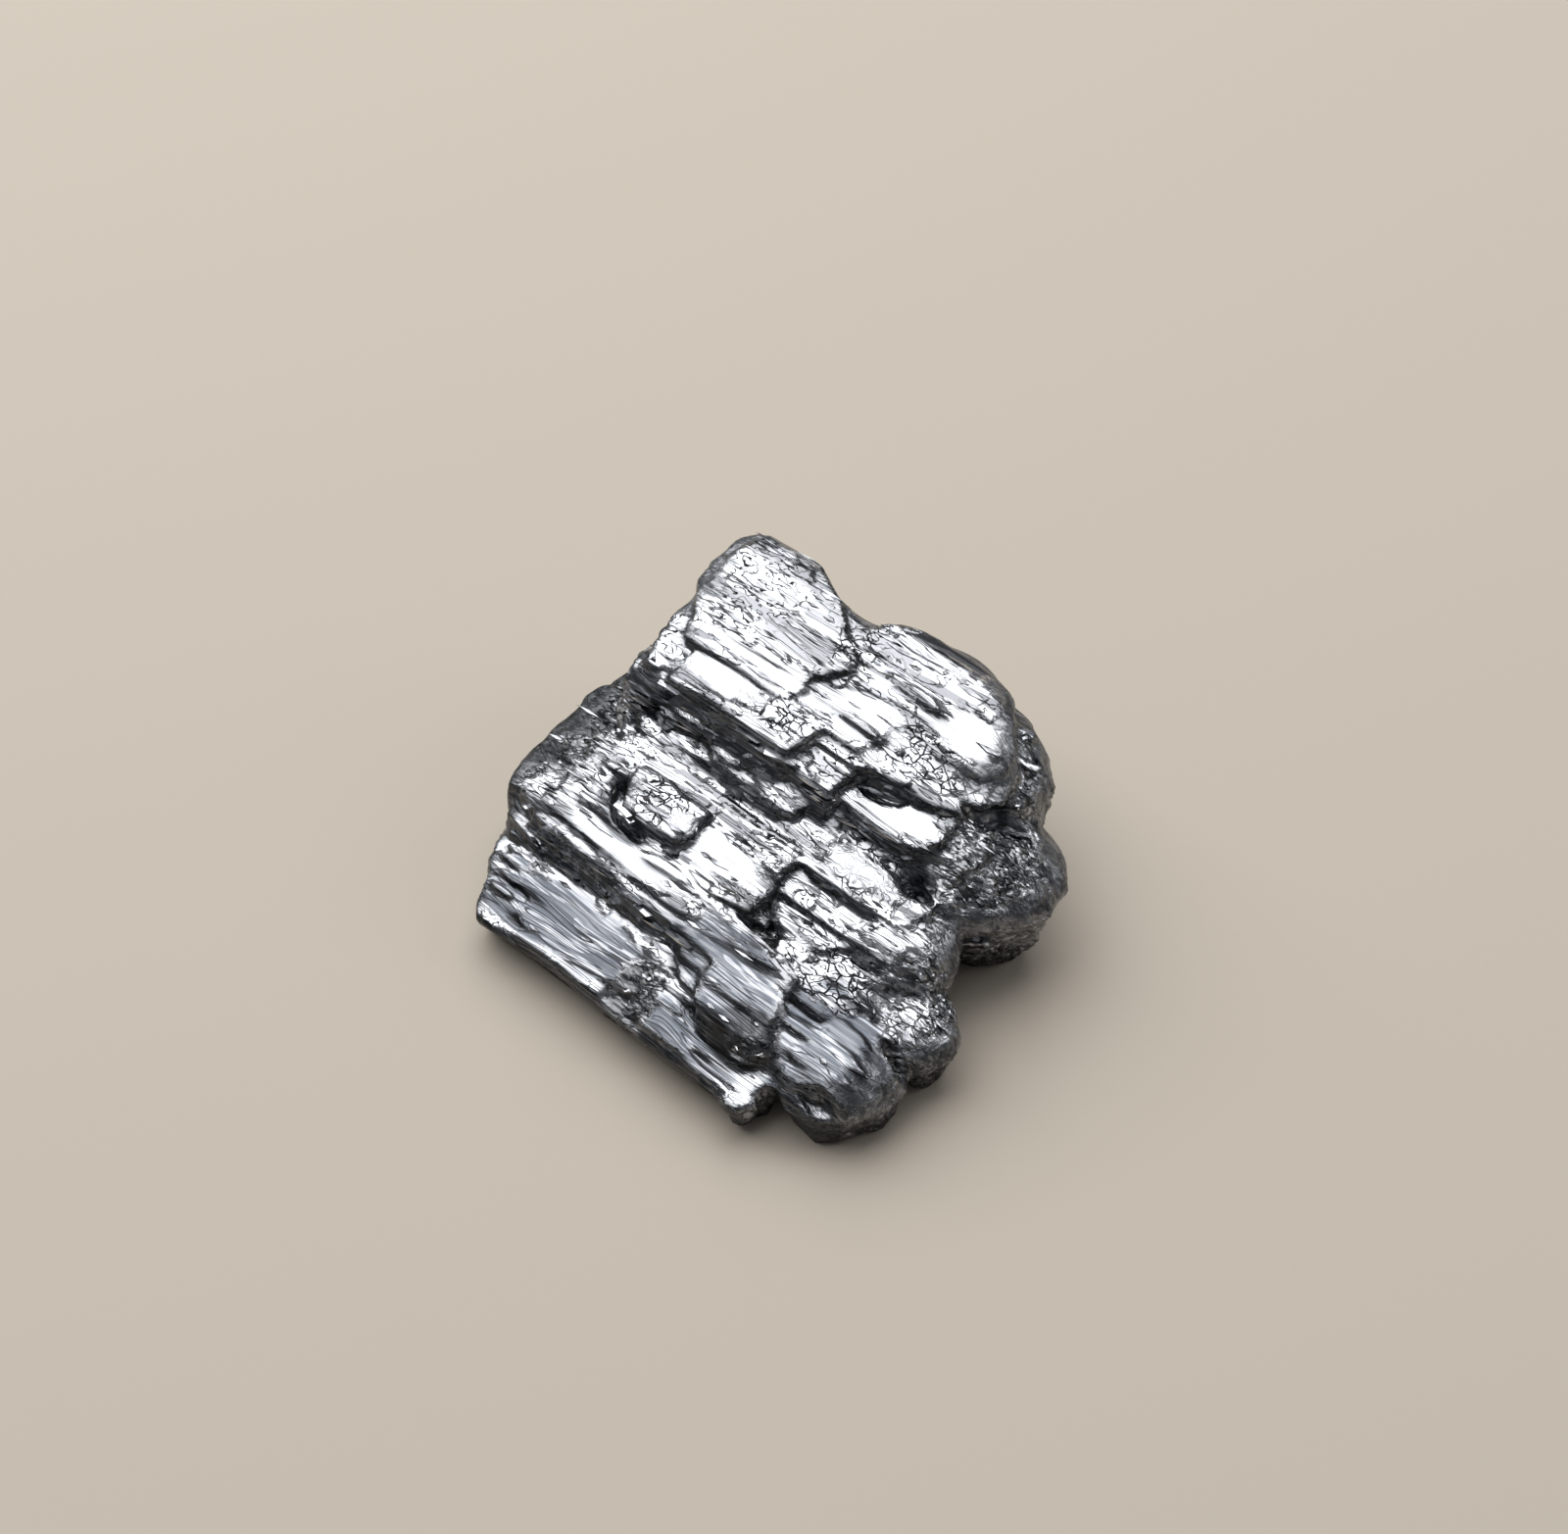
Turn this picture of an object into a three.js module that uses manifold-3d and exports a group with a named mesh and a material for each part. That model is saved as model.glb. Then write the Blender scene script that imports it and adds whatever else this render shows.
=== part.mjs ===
// Andorite specimen: sub-parallel crystals grown together into one mass, 32 mm long.
// Every crystal lies along X, the way its striations run. Its top and its long walls
// are faces of that one zone, so each is a stepped section in Y and Z drawn out along X,
// and a plan outline in X and Y gives it its broken or rounded ends.
// Millimetres, +Z up. The mass rests on a flat facet at Z = 0.
import * as THREE from 'three';
import { mergeVertices } from 'three/addons/utils/BufferGeometryUtils.js';
import Module from 'manifold-3d';

const wasm = await Module();
wasm.setup();

// Driving dimensions
const FIRST_X = -14; // a section is drawn out between these two and then trimmed
const LAST_X = 22;
const ABOVE = 18; // higher than any crystal
const BELOW = -3; // lower than the resting facet
const STRIATION = 0.1; // depth of the coarse steps on a striated face
const RISER = 0.1; // width of the riser between two such steps
const GRAIN = 0.9; // usual length of a small crystal on the rough ends
const SAME_POINT = 1e-5; // corners closer than this are one
const PROUD = [0, -1, 0.5, -0.4, 0.8, -0.8, 0.2]; // which steps stand proud and which are sunk

// A closed mesh as a solid
function solid(geometry) {
  geometry.deleteAttribute('normal');
  geometry.deleteAttribute('uv');
  const merged = mergeVertices(geometry, SAME_POINT);
  const mesh = new wasm.Mesh({
    numProp: 3,
    vertProperties: new Float32Array(merged.attributes.position.array),
    triVerts: new Uint32Array(merged.index.array),
  });
  return new wasm.Manifold(mesh);
}

const joined = (solids) => solids.reduce((sum, next) => sum.add(next));

// The same random numbers on every run
function dice(seed) {
  let state = seed * 7919 + 13;
  return () => {
    state = (state * 48271) % 2147483647;
    return state / 2147483647;
  };
}

function middleOf(outline) {
  return [0, 1].map((axis) => outline.reduce((sum, point) => sum + point[axis], 0) / outline.length);
}

// A closed form through plan rings of equal length, each ring a list of [x, y, z].
function lofted(rings) {
  const inPlan = (ring) => ring.map(([x, y]) => new THREE.Vector2(x, y));
  const clockwise = THREE.ShapeUtils.isClockWise(inPlan(rings[0]));
  const ordered = clockwise ? rings.map((ring) => [...ring].reverse()) : rings;
  const plan = inPlan(ordered[0]);
  const sides = plan.length;
  const top = (ordered.length - 1) * sides;
  const faces = [];
  for (const [a, b, c] of THREE.ShapeUtils.triangulateShape(plan, [])) {
    const turnsLeft = (plan[b].x - plan[a].x) * (plan[c].y - plan[a].y)
      > (plan[b].y - plan[a].y) * (plan[c].x - plan[a].x);
    faces.push(turnsLeft ? [a, c, b] : [a, b, c]);
    faces.push(turnsLeft ? [top + a, top + b, top + c] : [top + a, top + c, top + b]);
  }
  for (let start = 0; start < top; start += sides) {
    for (let side = 0; side < sides; side += 1) {
      const a = start + side;
      const b = start + ((side + 1) % sides);
      faces.push([a, b, a + sides], [b, b + sides, a + sides]);
    }
  }
  const geometry = new THREE.BufferGeometry();
  geometry.setAttribute('position', new THREE.Float32BufferAttribute(ordered.flat(2), 3));
  geometry.setIndex(faces.flat());
  return solid(geometry);
}

function scaledPlan(outline, share, z) {
  const [cx, cy] = middleOf(outline);
  return outline.map(([x, y]) => [cx + (x - cx) * share, cy + (y - cy) * share, z]);
}

// A section in Y and Z, drawn out along X. It climbs by climb per mm from pivot on.
function drawnAlongX(section, climb, pivot) {
  const shape = new THREE.Shape(section.map(([y, z]) => new THREE.Vector2(y, z)));
  const geometry = new THREE.ExtrudeGeometry(shape, { depth: LAST_X - FIRST_X, bevelEnabled: false });
  const sectionToYZ = new THREE.Matrix4().makeBasis(
    new THREE.Vector3(0, 1, 0),
    new THREE.Vector3(0, 0, 1),
    new THREE.Vector3(1, 0, 0),
  );
  geometry.applyMatrix4(sectionToYZ);
  geometry.translate(FIRST_X, 0, 0);
  const position = geometry.attributes.position;
  for (let i = 0; i < position.count; i += 1) {
    position.setZ(i, position.getZ(i) + climb * (position.getX(i) - pivot));
  }
  return solid(geometry);
}

// A plan outline as a column, widest at its waist: narrower by tuck at Z = 0 and by lean
// at the very top, both as shares of its width.
function column(outline, { waist = 2.4, tuck = 0.1, lean = 0.04 } = {}) {
  const foot = 1 - (tuck * (waist - BELOW)) / waist;
  return lofted([
    scaledPlan(outline, foot, BELOW),
    scaledPlan(outline, 1, waist),
    scaledPlan(outline, 1 - lean, ABOVE),
  ]);
}

// One crystal: its section from the foot of the front wall over the top to the foot
// of the rear wall, cut to its plan outline. Heights hold at the outline's middle.
function crystal({ front, top, rear, outline, climb = 0, ends = {} }) {
  const [pivot] = middleOf(outline);
  return drawnAlongX([...front, ...top, ...rear], climb, pivot).intersect(column(outline, ends));
}

// Stepped top of a striated face, from [y, z] to [y, z], in strips of uneven width
function striated([y0, z0], [y1, z1], widths, depth = STRIATION) {
  const total = widths.reduce((sum, width) => sum + width, 0);
  const at = (t, offset) => [y0 + (y1 - y0) * t, z0 + (z1 - z0) * t + offset];
  let done = 0;
  return widths.flatMap((width, i) => {
    const from = (done + (i ? RISER : 0)) / total;
    done += width;
    const offset = PROUD[i % PROUD.length] * depth;
    return [at(from, offset), at(done / total, offset)];
  });
}

// A rounded lobe with flat facets: a dome above its rim, tucked in below it.
// size is its half width in X and Y and the rise of the dome; under is the depth
// below the rim and the share of the width left at the bottom. The dome leans along X.
function lobe({ at: [x, y, rim], size: [sx, sy, rise], under = [3, 0.8], sides = 12, rings = 4,
  flat = 2, lean = 0, seed }) {
  const roll = dice(seed);
  const wave = roll() * 6;
  const ring = (share, height) => Array.from({ length: sides }, (_, side) => {
    const angle = ((side + 0.5 * (roll() - 0.5)) / sides) * 2 * Math.PI;
    const uneven = share * (1 + 0.05 * Math.sin(3 * angle + wave) + 0.09 * (roll() - 0.5));
    return [
      x + Math.cos(angle) * sx * uneven + lean * Math.max(height, 0),
      y + Math.sin(angle) * sy * uneven,
      rim + height + 0.06 * rise * (roll() - 0.5),
    ];
  });
  const [depth, foot] = under;
  const dome = Array.from({ length: rings }, (_, i) => {
    const share = (i + 1) / (rings + 0.4);
    return ring(Math.sqrt(1 - share ** flat), share * rise);
  });
  return lofted([ring(foot, -depth), ring(0.5 * foot + 0.5, -0.5 * depth), ring(1, 0), ...dome]);
}

// A long thin crystal lying on a face: lens shaped in plan, with a sloping top
function sliver([from, to], y, z, { width = 0.5, height = 0.3, slope = 0.17, turn = 0 } = {}) {
  const half = width / 2;
  const long = to - from;
  const plan = [[0, 0], [0.2, -1], [0.7, -0.9], [1, -0.1], [0.75, 1], [0.22, 0.8]];
  const ring = (share, lift) => plan.map(([along, across]) => {
    const px = (along - 0.5) * long * share;
    const py = across * half * share;
    return [(from + to) / 2 + px, y + py + turn * px, z + lift + py * slope];
  });
  return lofted([ring(1, -0.9), ring(1, 0.1 * height), ring(0.84, height)]);
}

// Small crystals on a rough end: stubby blades, each turned and tipped a little,
// strewn over an ellipse on a sloping plane.
function scatter({ at: [x, y], size: [sx, sy], plane, count, length = GRAIN, seed }) {
  const roll = dice(seed);
  const between = (low, high) => low + (high - low) * roll();
  return Array.from({ length: count }, () => {
    const angle = between(0, 2 * Math.PI);
    const far = Math.sqrt(roll());
    const px = x + Math.cos(angle) * far * sx;
    const py = y + Math.sin(angle) * far * sy;
    const geometry = new THREE.CylinderGeometry(0.32, 0.5, 1, 4, 1);
    geometry.rotateZ(Math.PI / 2);
    geometry.rotateX(between(0.2, 1.4));
    geometry.scale(length * between(0.9, 1.9), length * between(0.7, 1.1), length * between(0.6, 1.1));
    geometry.rotateY(between(-0.5, 0.5));
    geometry.rotateZ(between(-0.4, 0.4));
    geometry.translate(px, py, plane(px, py) - length * 0.12);
    return solid(geometry);
  });
}

// A pit or slot, taken away later: narrower at its floor by shrink, as a share
function hollow(outline, zTop, zFloor, shrink = 0.35) {
  const above = 1.5;
  const spread = (shrink / (zTop - zFloor)) * above;
  return lofted([
    scaledPlan(outline, 1 - shrink, zFloor),
    scaledPlan(outline, 1, zTop),
    scaledPlan(outline, 1 + spread, zTop + above),
  ]);
}

// Heart: the body under the faces, so that no seam between two crystals runs deep
function heart() {
  const left = crystal({
    front: [[-14.8, BELOW], [-15.4, 1.8], [-15.2, 2.2]],
    top: [[-11.4, 3.6], [-10.6, 5.2], [-3.2, 6.7], [-2.0, 7.7], [-0.9, 9.9], [2.5, 10.6], [8.5, 11.3]],
    rear: [[9.2, 9.5], [9.6, 4], [8.6, BELOW]],
    outline: [[-9.3, -9], [-7, -14.6], [4, -15], [6.5, -8], [6.2, 9.8], [0, 9.2], [-7.5, 9.8],
      [-9.2, 3]],
  });
  const right = crystal({
    front: [[-14.6, BELOW], [-15.0, 1.8]],
    top: [[-14.6, 2.8], [-11.6, 4.4], [-8.6, 4.7], [-6.0, 5.0], [-4.3, 6.2], [-0.5, 7.1], [0.2, 8.6],
      [2.2, 9.3], [4.5, 10.5], [8.5, 11.0]],
    rear: [[9.4, 9], [9.8, 4], [8.8, BELOW]],
    outline: [[2, -13], [4, -15], [11.5, -14.6], [14.6, -10], [14.0, -4], [15.2, 2], [13.0, 7.5],
      [9.5, 10], [2, 9.6]],
    climb: -0.03,
    ends: { waist: 2.6, tuck: 0.12, lean: 0.03 },
  });
  return [left, right];
}

// Front plates: a broad low sheet with a jagged left end, and a smoother sheet on it
// whose strips stop one after another at a broken right end.
function frontPlates() {
  const sheetHeight = (x, y) => 3.0 + 0.28 * (y + 15.8);
  const lowSheet = crystal({
    front: [[-14.5, BELOW], [-15.2, 0.4], [-15.9, 1.5], [-16.35, 2.3], [-16.25, 2.6]],
    top: striated([-16.05, 2.72], [-10.4, 4.15], [2, 3, 5, 2, 4, 6, 3, 5]),
    rear: [[-9, 4.2], [-9, BELOW]],
    outline: [[-9.9, -10.2], [-9.75, -12.4], [-9.0, -13.5], [-8.4, -14.5], [-7.9, -15.4],
      [-6.9, -16.35], [-3, -16.5], [0.8, -16.2], [2, -16.9], [4.8, -16.4], [9.3, -16.2],
      [10.6, -16.4], [11.6, -16.9], [12.6, -16.3], [13.4, -15.3], [13.8, -14], [13.2, -10]],
    ends: { waist: 2.3, tuck: 0.05, lean: 0.02 },
  });
  const highSheet = crystal({
    front: [[-15.7, 1], [-16.15, 2.5], [-16.05, 2.95]],
    top: striated([-15.9, 3.08], [-11.4, 4.38], [2, 2, 3, 8, 2, 5, 4, 4]),
    rear: [[-10.4, 4.5], [-10.4, 1]],
    outline: [[-8.9, -10.4], [-8.3, -11.7], [-7.1, -12.2], [-7.3, -13.1], [-6.2, -13.5],
      [-4.9, -14.1], [-5.2, -14.8], [-4.1, -15.3], [-4.4, -16.8], [2.1, -16.8], [2.4, -15.3],
      [1.9, -14.7], [2.5, -13.6], [3.4, -12.7], [5.4, -12.0], [5.6, -10.4]],
    ends: { waist: 3, tuck: 0, lean: 0.03 },
  });
  const wavyStrips = [
    [[4.6, 9.6], -15.6, 2.95], [[5.0, 8.4], -14.9, 3.15], [[6.0, 10.4], -14.9, 3.05],
    [[4.4, 7.2], -14.1, 3.4], [[4.8, 7.4], -13.3, 3.65], [[8.6, 12.4], -15.9, 2.8],
  ].map(([span, y, z]) => sliver(span, y, z, { width: 0.75, height: 0.3, slope: 0.28 }));
  const comb = [-10.6, -11.1, -11.6, -12.2, -12.8, -13.6, -14.4].map((y, i) => sliver(
    [-10.1 + 0.3 * i + (i % 2) * 0.3, -6.9 + 0.2 * i],
    y,
    sheetHeight(0, y) + 0.02,
    { width: 0.4, height: 0.22, slope: 0.28, turn: -0.03 },
  ));
  const fragment = lobe({
    at: [12.6, -15.6, 2.4], size: [1.2, 1.2, 0.6], under: [1.8, 0.6], rings: 2, sides: 7, seed: 4,
  });
  const breakZone = scatter({ at: [3.4, -14.6], size: [1.0, 1.6], plane: sheetHeight, count: 6, seed: 3 });
  return [lowSheet, highSheet, ...wavyStrips, ...comb, fragment, ...breakZone];
}

// Middle plates: the bright stepped sheet behind the first dark wall, and the narrow
// strips behind it
function middlePlates() {
  const sheet = crystal({
    front: [[-12.6, BELOW], [-12.0, 3.7], [-11.4, 4.9], [-10.85, 5.85], [-10.3, 6.05]],
    top: striated([-10.05, 6.45], [-5.2, 7.3], [5, 3, 6, 3, 6, 2, 5]),
    rear: [[-4.4, 7.4], [-4.4, BELOW]],
    outline: [[-8.3, -4], [-8.2, -7], [-7.7, -8.9], [-8.2, -10.2], [-7.5, -12.8], [4.5, -12.8],
      [4.9, -11.3], [4.1, -10.5], [3.9, -9.6], [4.3, -8.8], [6.8, -8.3], [7.1, -6.8], [6.7, -5.2],
      [6.8, -4]],
    ends: { waist: 4, tuck: 0, lean: 0.02 },
  });
  const lips = [
    crystal({
      front: [[-11.2, 4], [-10.95, 5.75]],
      top: [[-10.85, 6.0], [-10.2, 6.12]],
      rear: [[-9.8, 6.1], [-9.8, 4]],
      outline: [[-7.6, -9.7], [-7.3, -11.3], [-3.2, -11.3], [-2.6, -9.7]],
    }),
    crystal({
      front: [[-11.6, 4], [-11.3, 5.6]],
      top: striated([-11.15, 5.85], [-10.0, 6.4], [2, 2, 3], 0.1),
      rear: [[-9.8, 6.3], [-9.8, 4]],
      outline: [[-0.6, -9.7], [-0.2, -11.8], [4.1, -11.8], [4.0, -9.7]],
    }),
    sliver([-2.5, 0.4], -10.7, 5.6, { width: 0.6, height: 0.5, turn: -0.38 }),
  ];
  const strips = crystal({
    front: [[-5.6, 4], [-5.45, 7.15]],
    top: striated([-5.3, 7.35], [-2.2, 7.9], [2, 1, 2, 2, 1, 3, 2, 2], 0.16),
    rear: [[-1.2, 8.0], [-1.2, 4]],
    outline: [[-8.1, -0.5], [-7.9, -3.6], [-7.2, -4.4], [-6.2, -5.7], [5.6, -5.7], [6.6, -4.4],
      [6.4, -3.0], [5.4, -1.8], [5.6, -0.5]],
    ends: { waist: 6, tuck: 0 },
  });
  const shelves = [
    crystal({
      front: [[-3.5, 6], [-3.35, 7.9]],
      top: [[-3.2, 8.1], [-2.3, 8.3]],
      rear: [[-1.6, 8.4], [-1.6, 6]],
      outline: [[-7.2, -1.4], [-6.6, -3.4], [-4.9, -3.5], [-4.5, -3.0], [-1.2, -2.9], [-1.4, -1.4]],
    }),
    crystal({
      front: [[-4.5, 6], [-4.3, 7.6]],
      top: [[-4.2, 7.75], [-3.4, 7.9]],
      rear: [[-3.0, 7.9], [-3.0, 6]],
      outline: [[-6.2, -2.9], [-5.6, -4.4], [-2.6, -4.5], [-2.2, -2.9]],
    }),
  ];
  const boat = crystal({
    front: [[-3.4, 6], [-3.25, 7.6], [-2.65, 8.35]],
    top: [[-2.5, 8.52], [-1.6, 8.68]],
    rear: [[-0.9, 8.8], [-0.9, 6]],
    outline: [[-2.2, -0.8], [-2.0, -2.1], [-1.3, -2.85], [0.4, -3.35], [3.4, -3.25], [4.7, -2.5],
      [5.1, -1.6], [5.0, -0.8]],
  });
  const cluster = crystal({
    front: [[-8.6, 5], [-8.4, 6.2], [-7.8, 7.6]],
    top: [[-7.6, 7.8], [-5.4, 8.1]],
    rear: [[-4.8, 7.7], [-4.8, 5]],
    outline: [[-4.4, -4.9], [-4.5, -6.7], [-3.6, -7.7], [-2.3, -8.4], [0.0, -8.5], [0.9, -8.0],
      [1.3, -6.8], [1.1, -4.9]],
    ends: { waist: 6, tuck: 0 },
  });
  const crumbs = scatter({
    at: [-1.6, -6.3], size: [1.9, 0.7], plane: () => 7.9, count: 6, seed: 17, length: 0.6,
  });
  const blades = [
    sliver([-9.9, -6.0], -11.35, 4.7, { width: 0.35, height: 0.35, turn: -0.24 }),
    sliver([-9.6, -7.4], -10.3, 5.7, { width: 0.5, height: 0.4, turn: -0.12 }),
    sliver([-7.2, -3.0], -5.9, 7.2, { width: 0.6 }),
    sliver([-6.8, -2.2], -8.3, 6.75, { width: 0.8, height: 0.25 }),
    sliver([-1.0, 3.4], -9.1, 6.65, { width: 0.7, height: 0.22 }),
    sliver([1.6, 6.2], -7.9, 6.85, { width: 0.7, height: 0.22 }),
    sliver([1.9, 6.4], -6.3, 7.1, { width: 0.6, height: 0.25 }),
    sliver([2.2, 5.6], -4.9, 7.35, { width: 0.4, height: 0.25 }),
  ];
  return [sheet, ...lips, strips, ...shelves, boat, cluster, ...crumbs, ...blades];
}

// Top plates: behind the high dark wall a narrow shelf, then the two highest crystals
function topPlates() {
  const shelf = crystal({
    front: [[-2.9, BELOW], [-2.3, 7.7], [-1.9, 8.9], [-1.6, 9.35], [-1.45, 9.4], [-1.1, 10.6]],
    top: striated([-0.95, 10.9], [1.9, 11.3], [5, 3, 6, 2]),
    rear: [[2.6, 11.3], [2.6, BELOW]],
    outline: [[-6.9, 2.4], [-6.3, 0.8], [-6.2, -0.7], [-7.2, -2.2], [-7.0, -3.2], [1.4, -3.2],
      [2.4, -1.9], [3.0, -0.9], [3.3, 0.4], [3.4, 2.4]],
    ends: { waist: 8, tuck: 0, lean: 0.05 },
  });
  const wallSlits = [
    sliver([-6.2, -3.4], -2.05, 8.75, { width: 0.5 }),
    sliver([-5.0, -2.4], -1.75, 9.15, { width: 0.4 }),
    sliver([-2.2, 0.8], -2.1, 8.6, { width: 0.5 }),
  ];
  const leftFlank = crystal({
    front: [[-3.9, 5], [-3.2, 7.4], [-1.6, 9.4]],
    top: [[-0.9, 10.1], [1.5, 10.6]],
    rear: [[2.4, 10.6], [2.4, 5]],
    outline: [[-6.4, 2], [-6.4, -1.0], [-7.2, -3.2], [-8.4, -3.4], [-9.0, -1.6], [-8.8, 2]],
    climb: 0.12,
    ends: { waist: 6, tuck: 0 },
  });
  const leftWedge = crystal({
    front: [[-1.6, BELOW], [-1.2, 7.5], [-0.85, 10.2]],
    top: striated([-0.7, 10.6], [3.9, 11.3], [4, 3, 5]),
    rear: [[4.6, 11.4], [4.6, BELOW]],
    outline: [[-9.2, 4.9], [-9.5, 3.4], [-9.0, 1.4], [-8.2, -0.5], [-7.2, -1.2], [-6.8, -0.2],
      [-7.0, 1.2], [-7.6, 2.2], [-7.8, 4.9]],
    ends: { waist: 7, tuck: 0.04, lean: 0.03 },
  });
  const leftTop = crystal({
    front: [[1.2, BELOW], [1.35, 11.1]],
    top: [...striated([1.5, 11.6], [8.4, 12.68], [7, 2, 6, 3, 9, 3, 6, 5]),
      [9.1, 12.66], [10.1, 12.45], [10.8, 11.9]],
    rear: [[11.2, 11.1], [11.2, 10.1], [10.6, 8.1], [10.9, 6.6], [10.2, 4.2], [10.1, 2.2],
      [9.2, 0.2], [8.7, BELOW]],
    outline: [[-7.9, 11.4], [-9.4, 10.7], [-10.1, 8.6], [-10.2, 6.9], [-9.7, 5.0], [-8.7, 3.7],
      [-7.9, 2.6], [-7.2, 1.6], [-6.2, 1.0], [0.3, 1.0], [1.0, 2.4], [0.7, 3.6], [1.9, 4.6],
      [2.6, 5.6], [1.2, 6.9], [-0.4, 8.1], [-2.4, 9.3], [-3.8, 9.9], [-5.8, 10.9]],
    ends: { waist: 10, tuck: 0.05, lean: 0.03 },
  });
  const rightTop = crystal({
    front: [[3.6, BELOW], [4.2, 11.0]],
    top: [...striated([4.5, 11.5], [9.2, 12.4], [4, 3, 7, 2, 6, 3]),
      [9.8, 12.15], [10.7, 11.8], [11.4, 11.1]],
    rear: [[11.8, 10.4], [11.9, 9.6], [11.5, 8.2], [11.8, 6.0], [11.1, 4.1], [10.9, 2.3],
      [9.9, 0.3], [9.4, BELOW]],
    outline: [[1.0, 9.3], [1.7, 7.6], [2.6, 6.1], [4.5, 4.9], [8.2, 4.2], [12.4, 4.4], [13.3, 5.6],
      [12.8, 7.3], [11.2, 9.0], [9.7, 10.4], [7.7, 11.5], [5.6, 12.0], [3.6, 11.4], [1.6, 10.4]],
    climb: -0.03,
    ends: { waist: 9, tuck: 0.06, lean: 0.05 },
  });
  const saddle = crystal({
    front: [[2.2, BELOW], [2.4, 10.8]],
    top: [[2.6, 11.2], [4.5, 11.65], [6.5, 12.0], [8.4, 12.15], [9.3, 11.8]],
    rear: [[9.8, 10.6], [9.6, 5], [8.9, BELOW]],
    outline: [[-3.2, 9.6], [-1.6, 2], [4.6, 2], [4.8, 8], [2.3, 10.3], [-0.4, 9.5]],
    ends: { waist: 7, tuck: 0.05, lean: 0.02 },
  });
  const blades = [
    sliver([-8.2, -2.0], 5.2, 12.05, { width: 0.7, height: 0.25 }),
    sliver([-9.0, -4.4], 7.6, 12.45, { width: 0.6, height: 0.22 }),
    sliver([-6.8, 0.2], 3.3, 11.8, { width: 0.8, height: 0.25 }),
    sliver([3.2, 9.4], 6.3, 11.9, { width: 0.7, height: 0.25 }),
    sliver([4.6, 11.8], 8.6, 12.1, { width: 0.8, height: 0.22 }),
    sliver([-4.6, 0.6], 8.9, 11.9, { width: 0.6, height: 0.3, turn: -0.1 }),
  ];
  const crumbs = scatter({
    at: [0.8, 0.6], size: [2.2, 0.9], plane: () => 11.05, count: 6, seed: 7, length: 0.8,
  });
  const seam = scatter({ at: [1.6, 7.4], size: [1.2, 1.6], plane: () => 11.7, count: 5, seed: 8 });
  return [shelf, ...wallSlits, leftFlank, leftWedge, leftTop, rightTop, saddle, ...blades, ...crumbs,
    ...seam];
}

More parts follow.
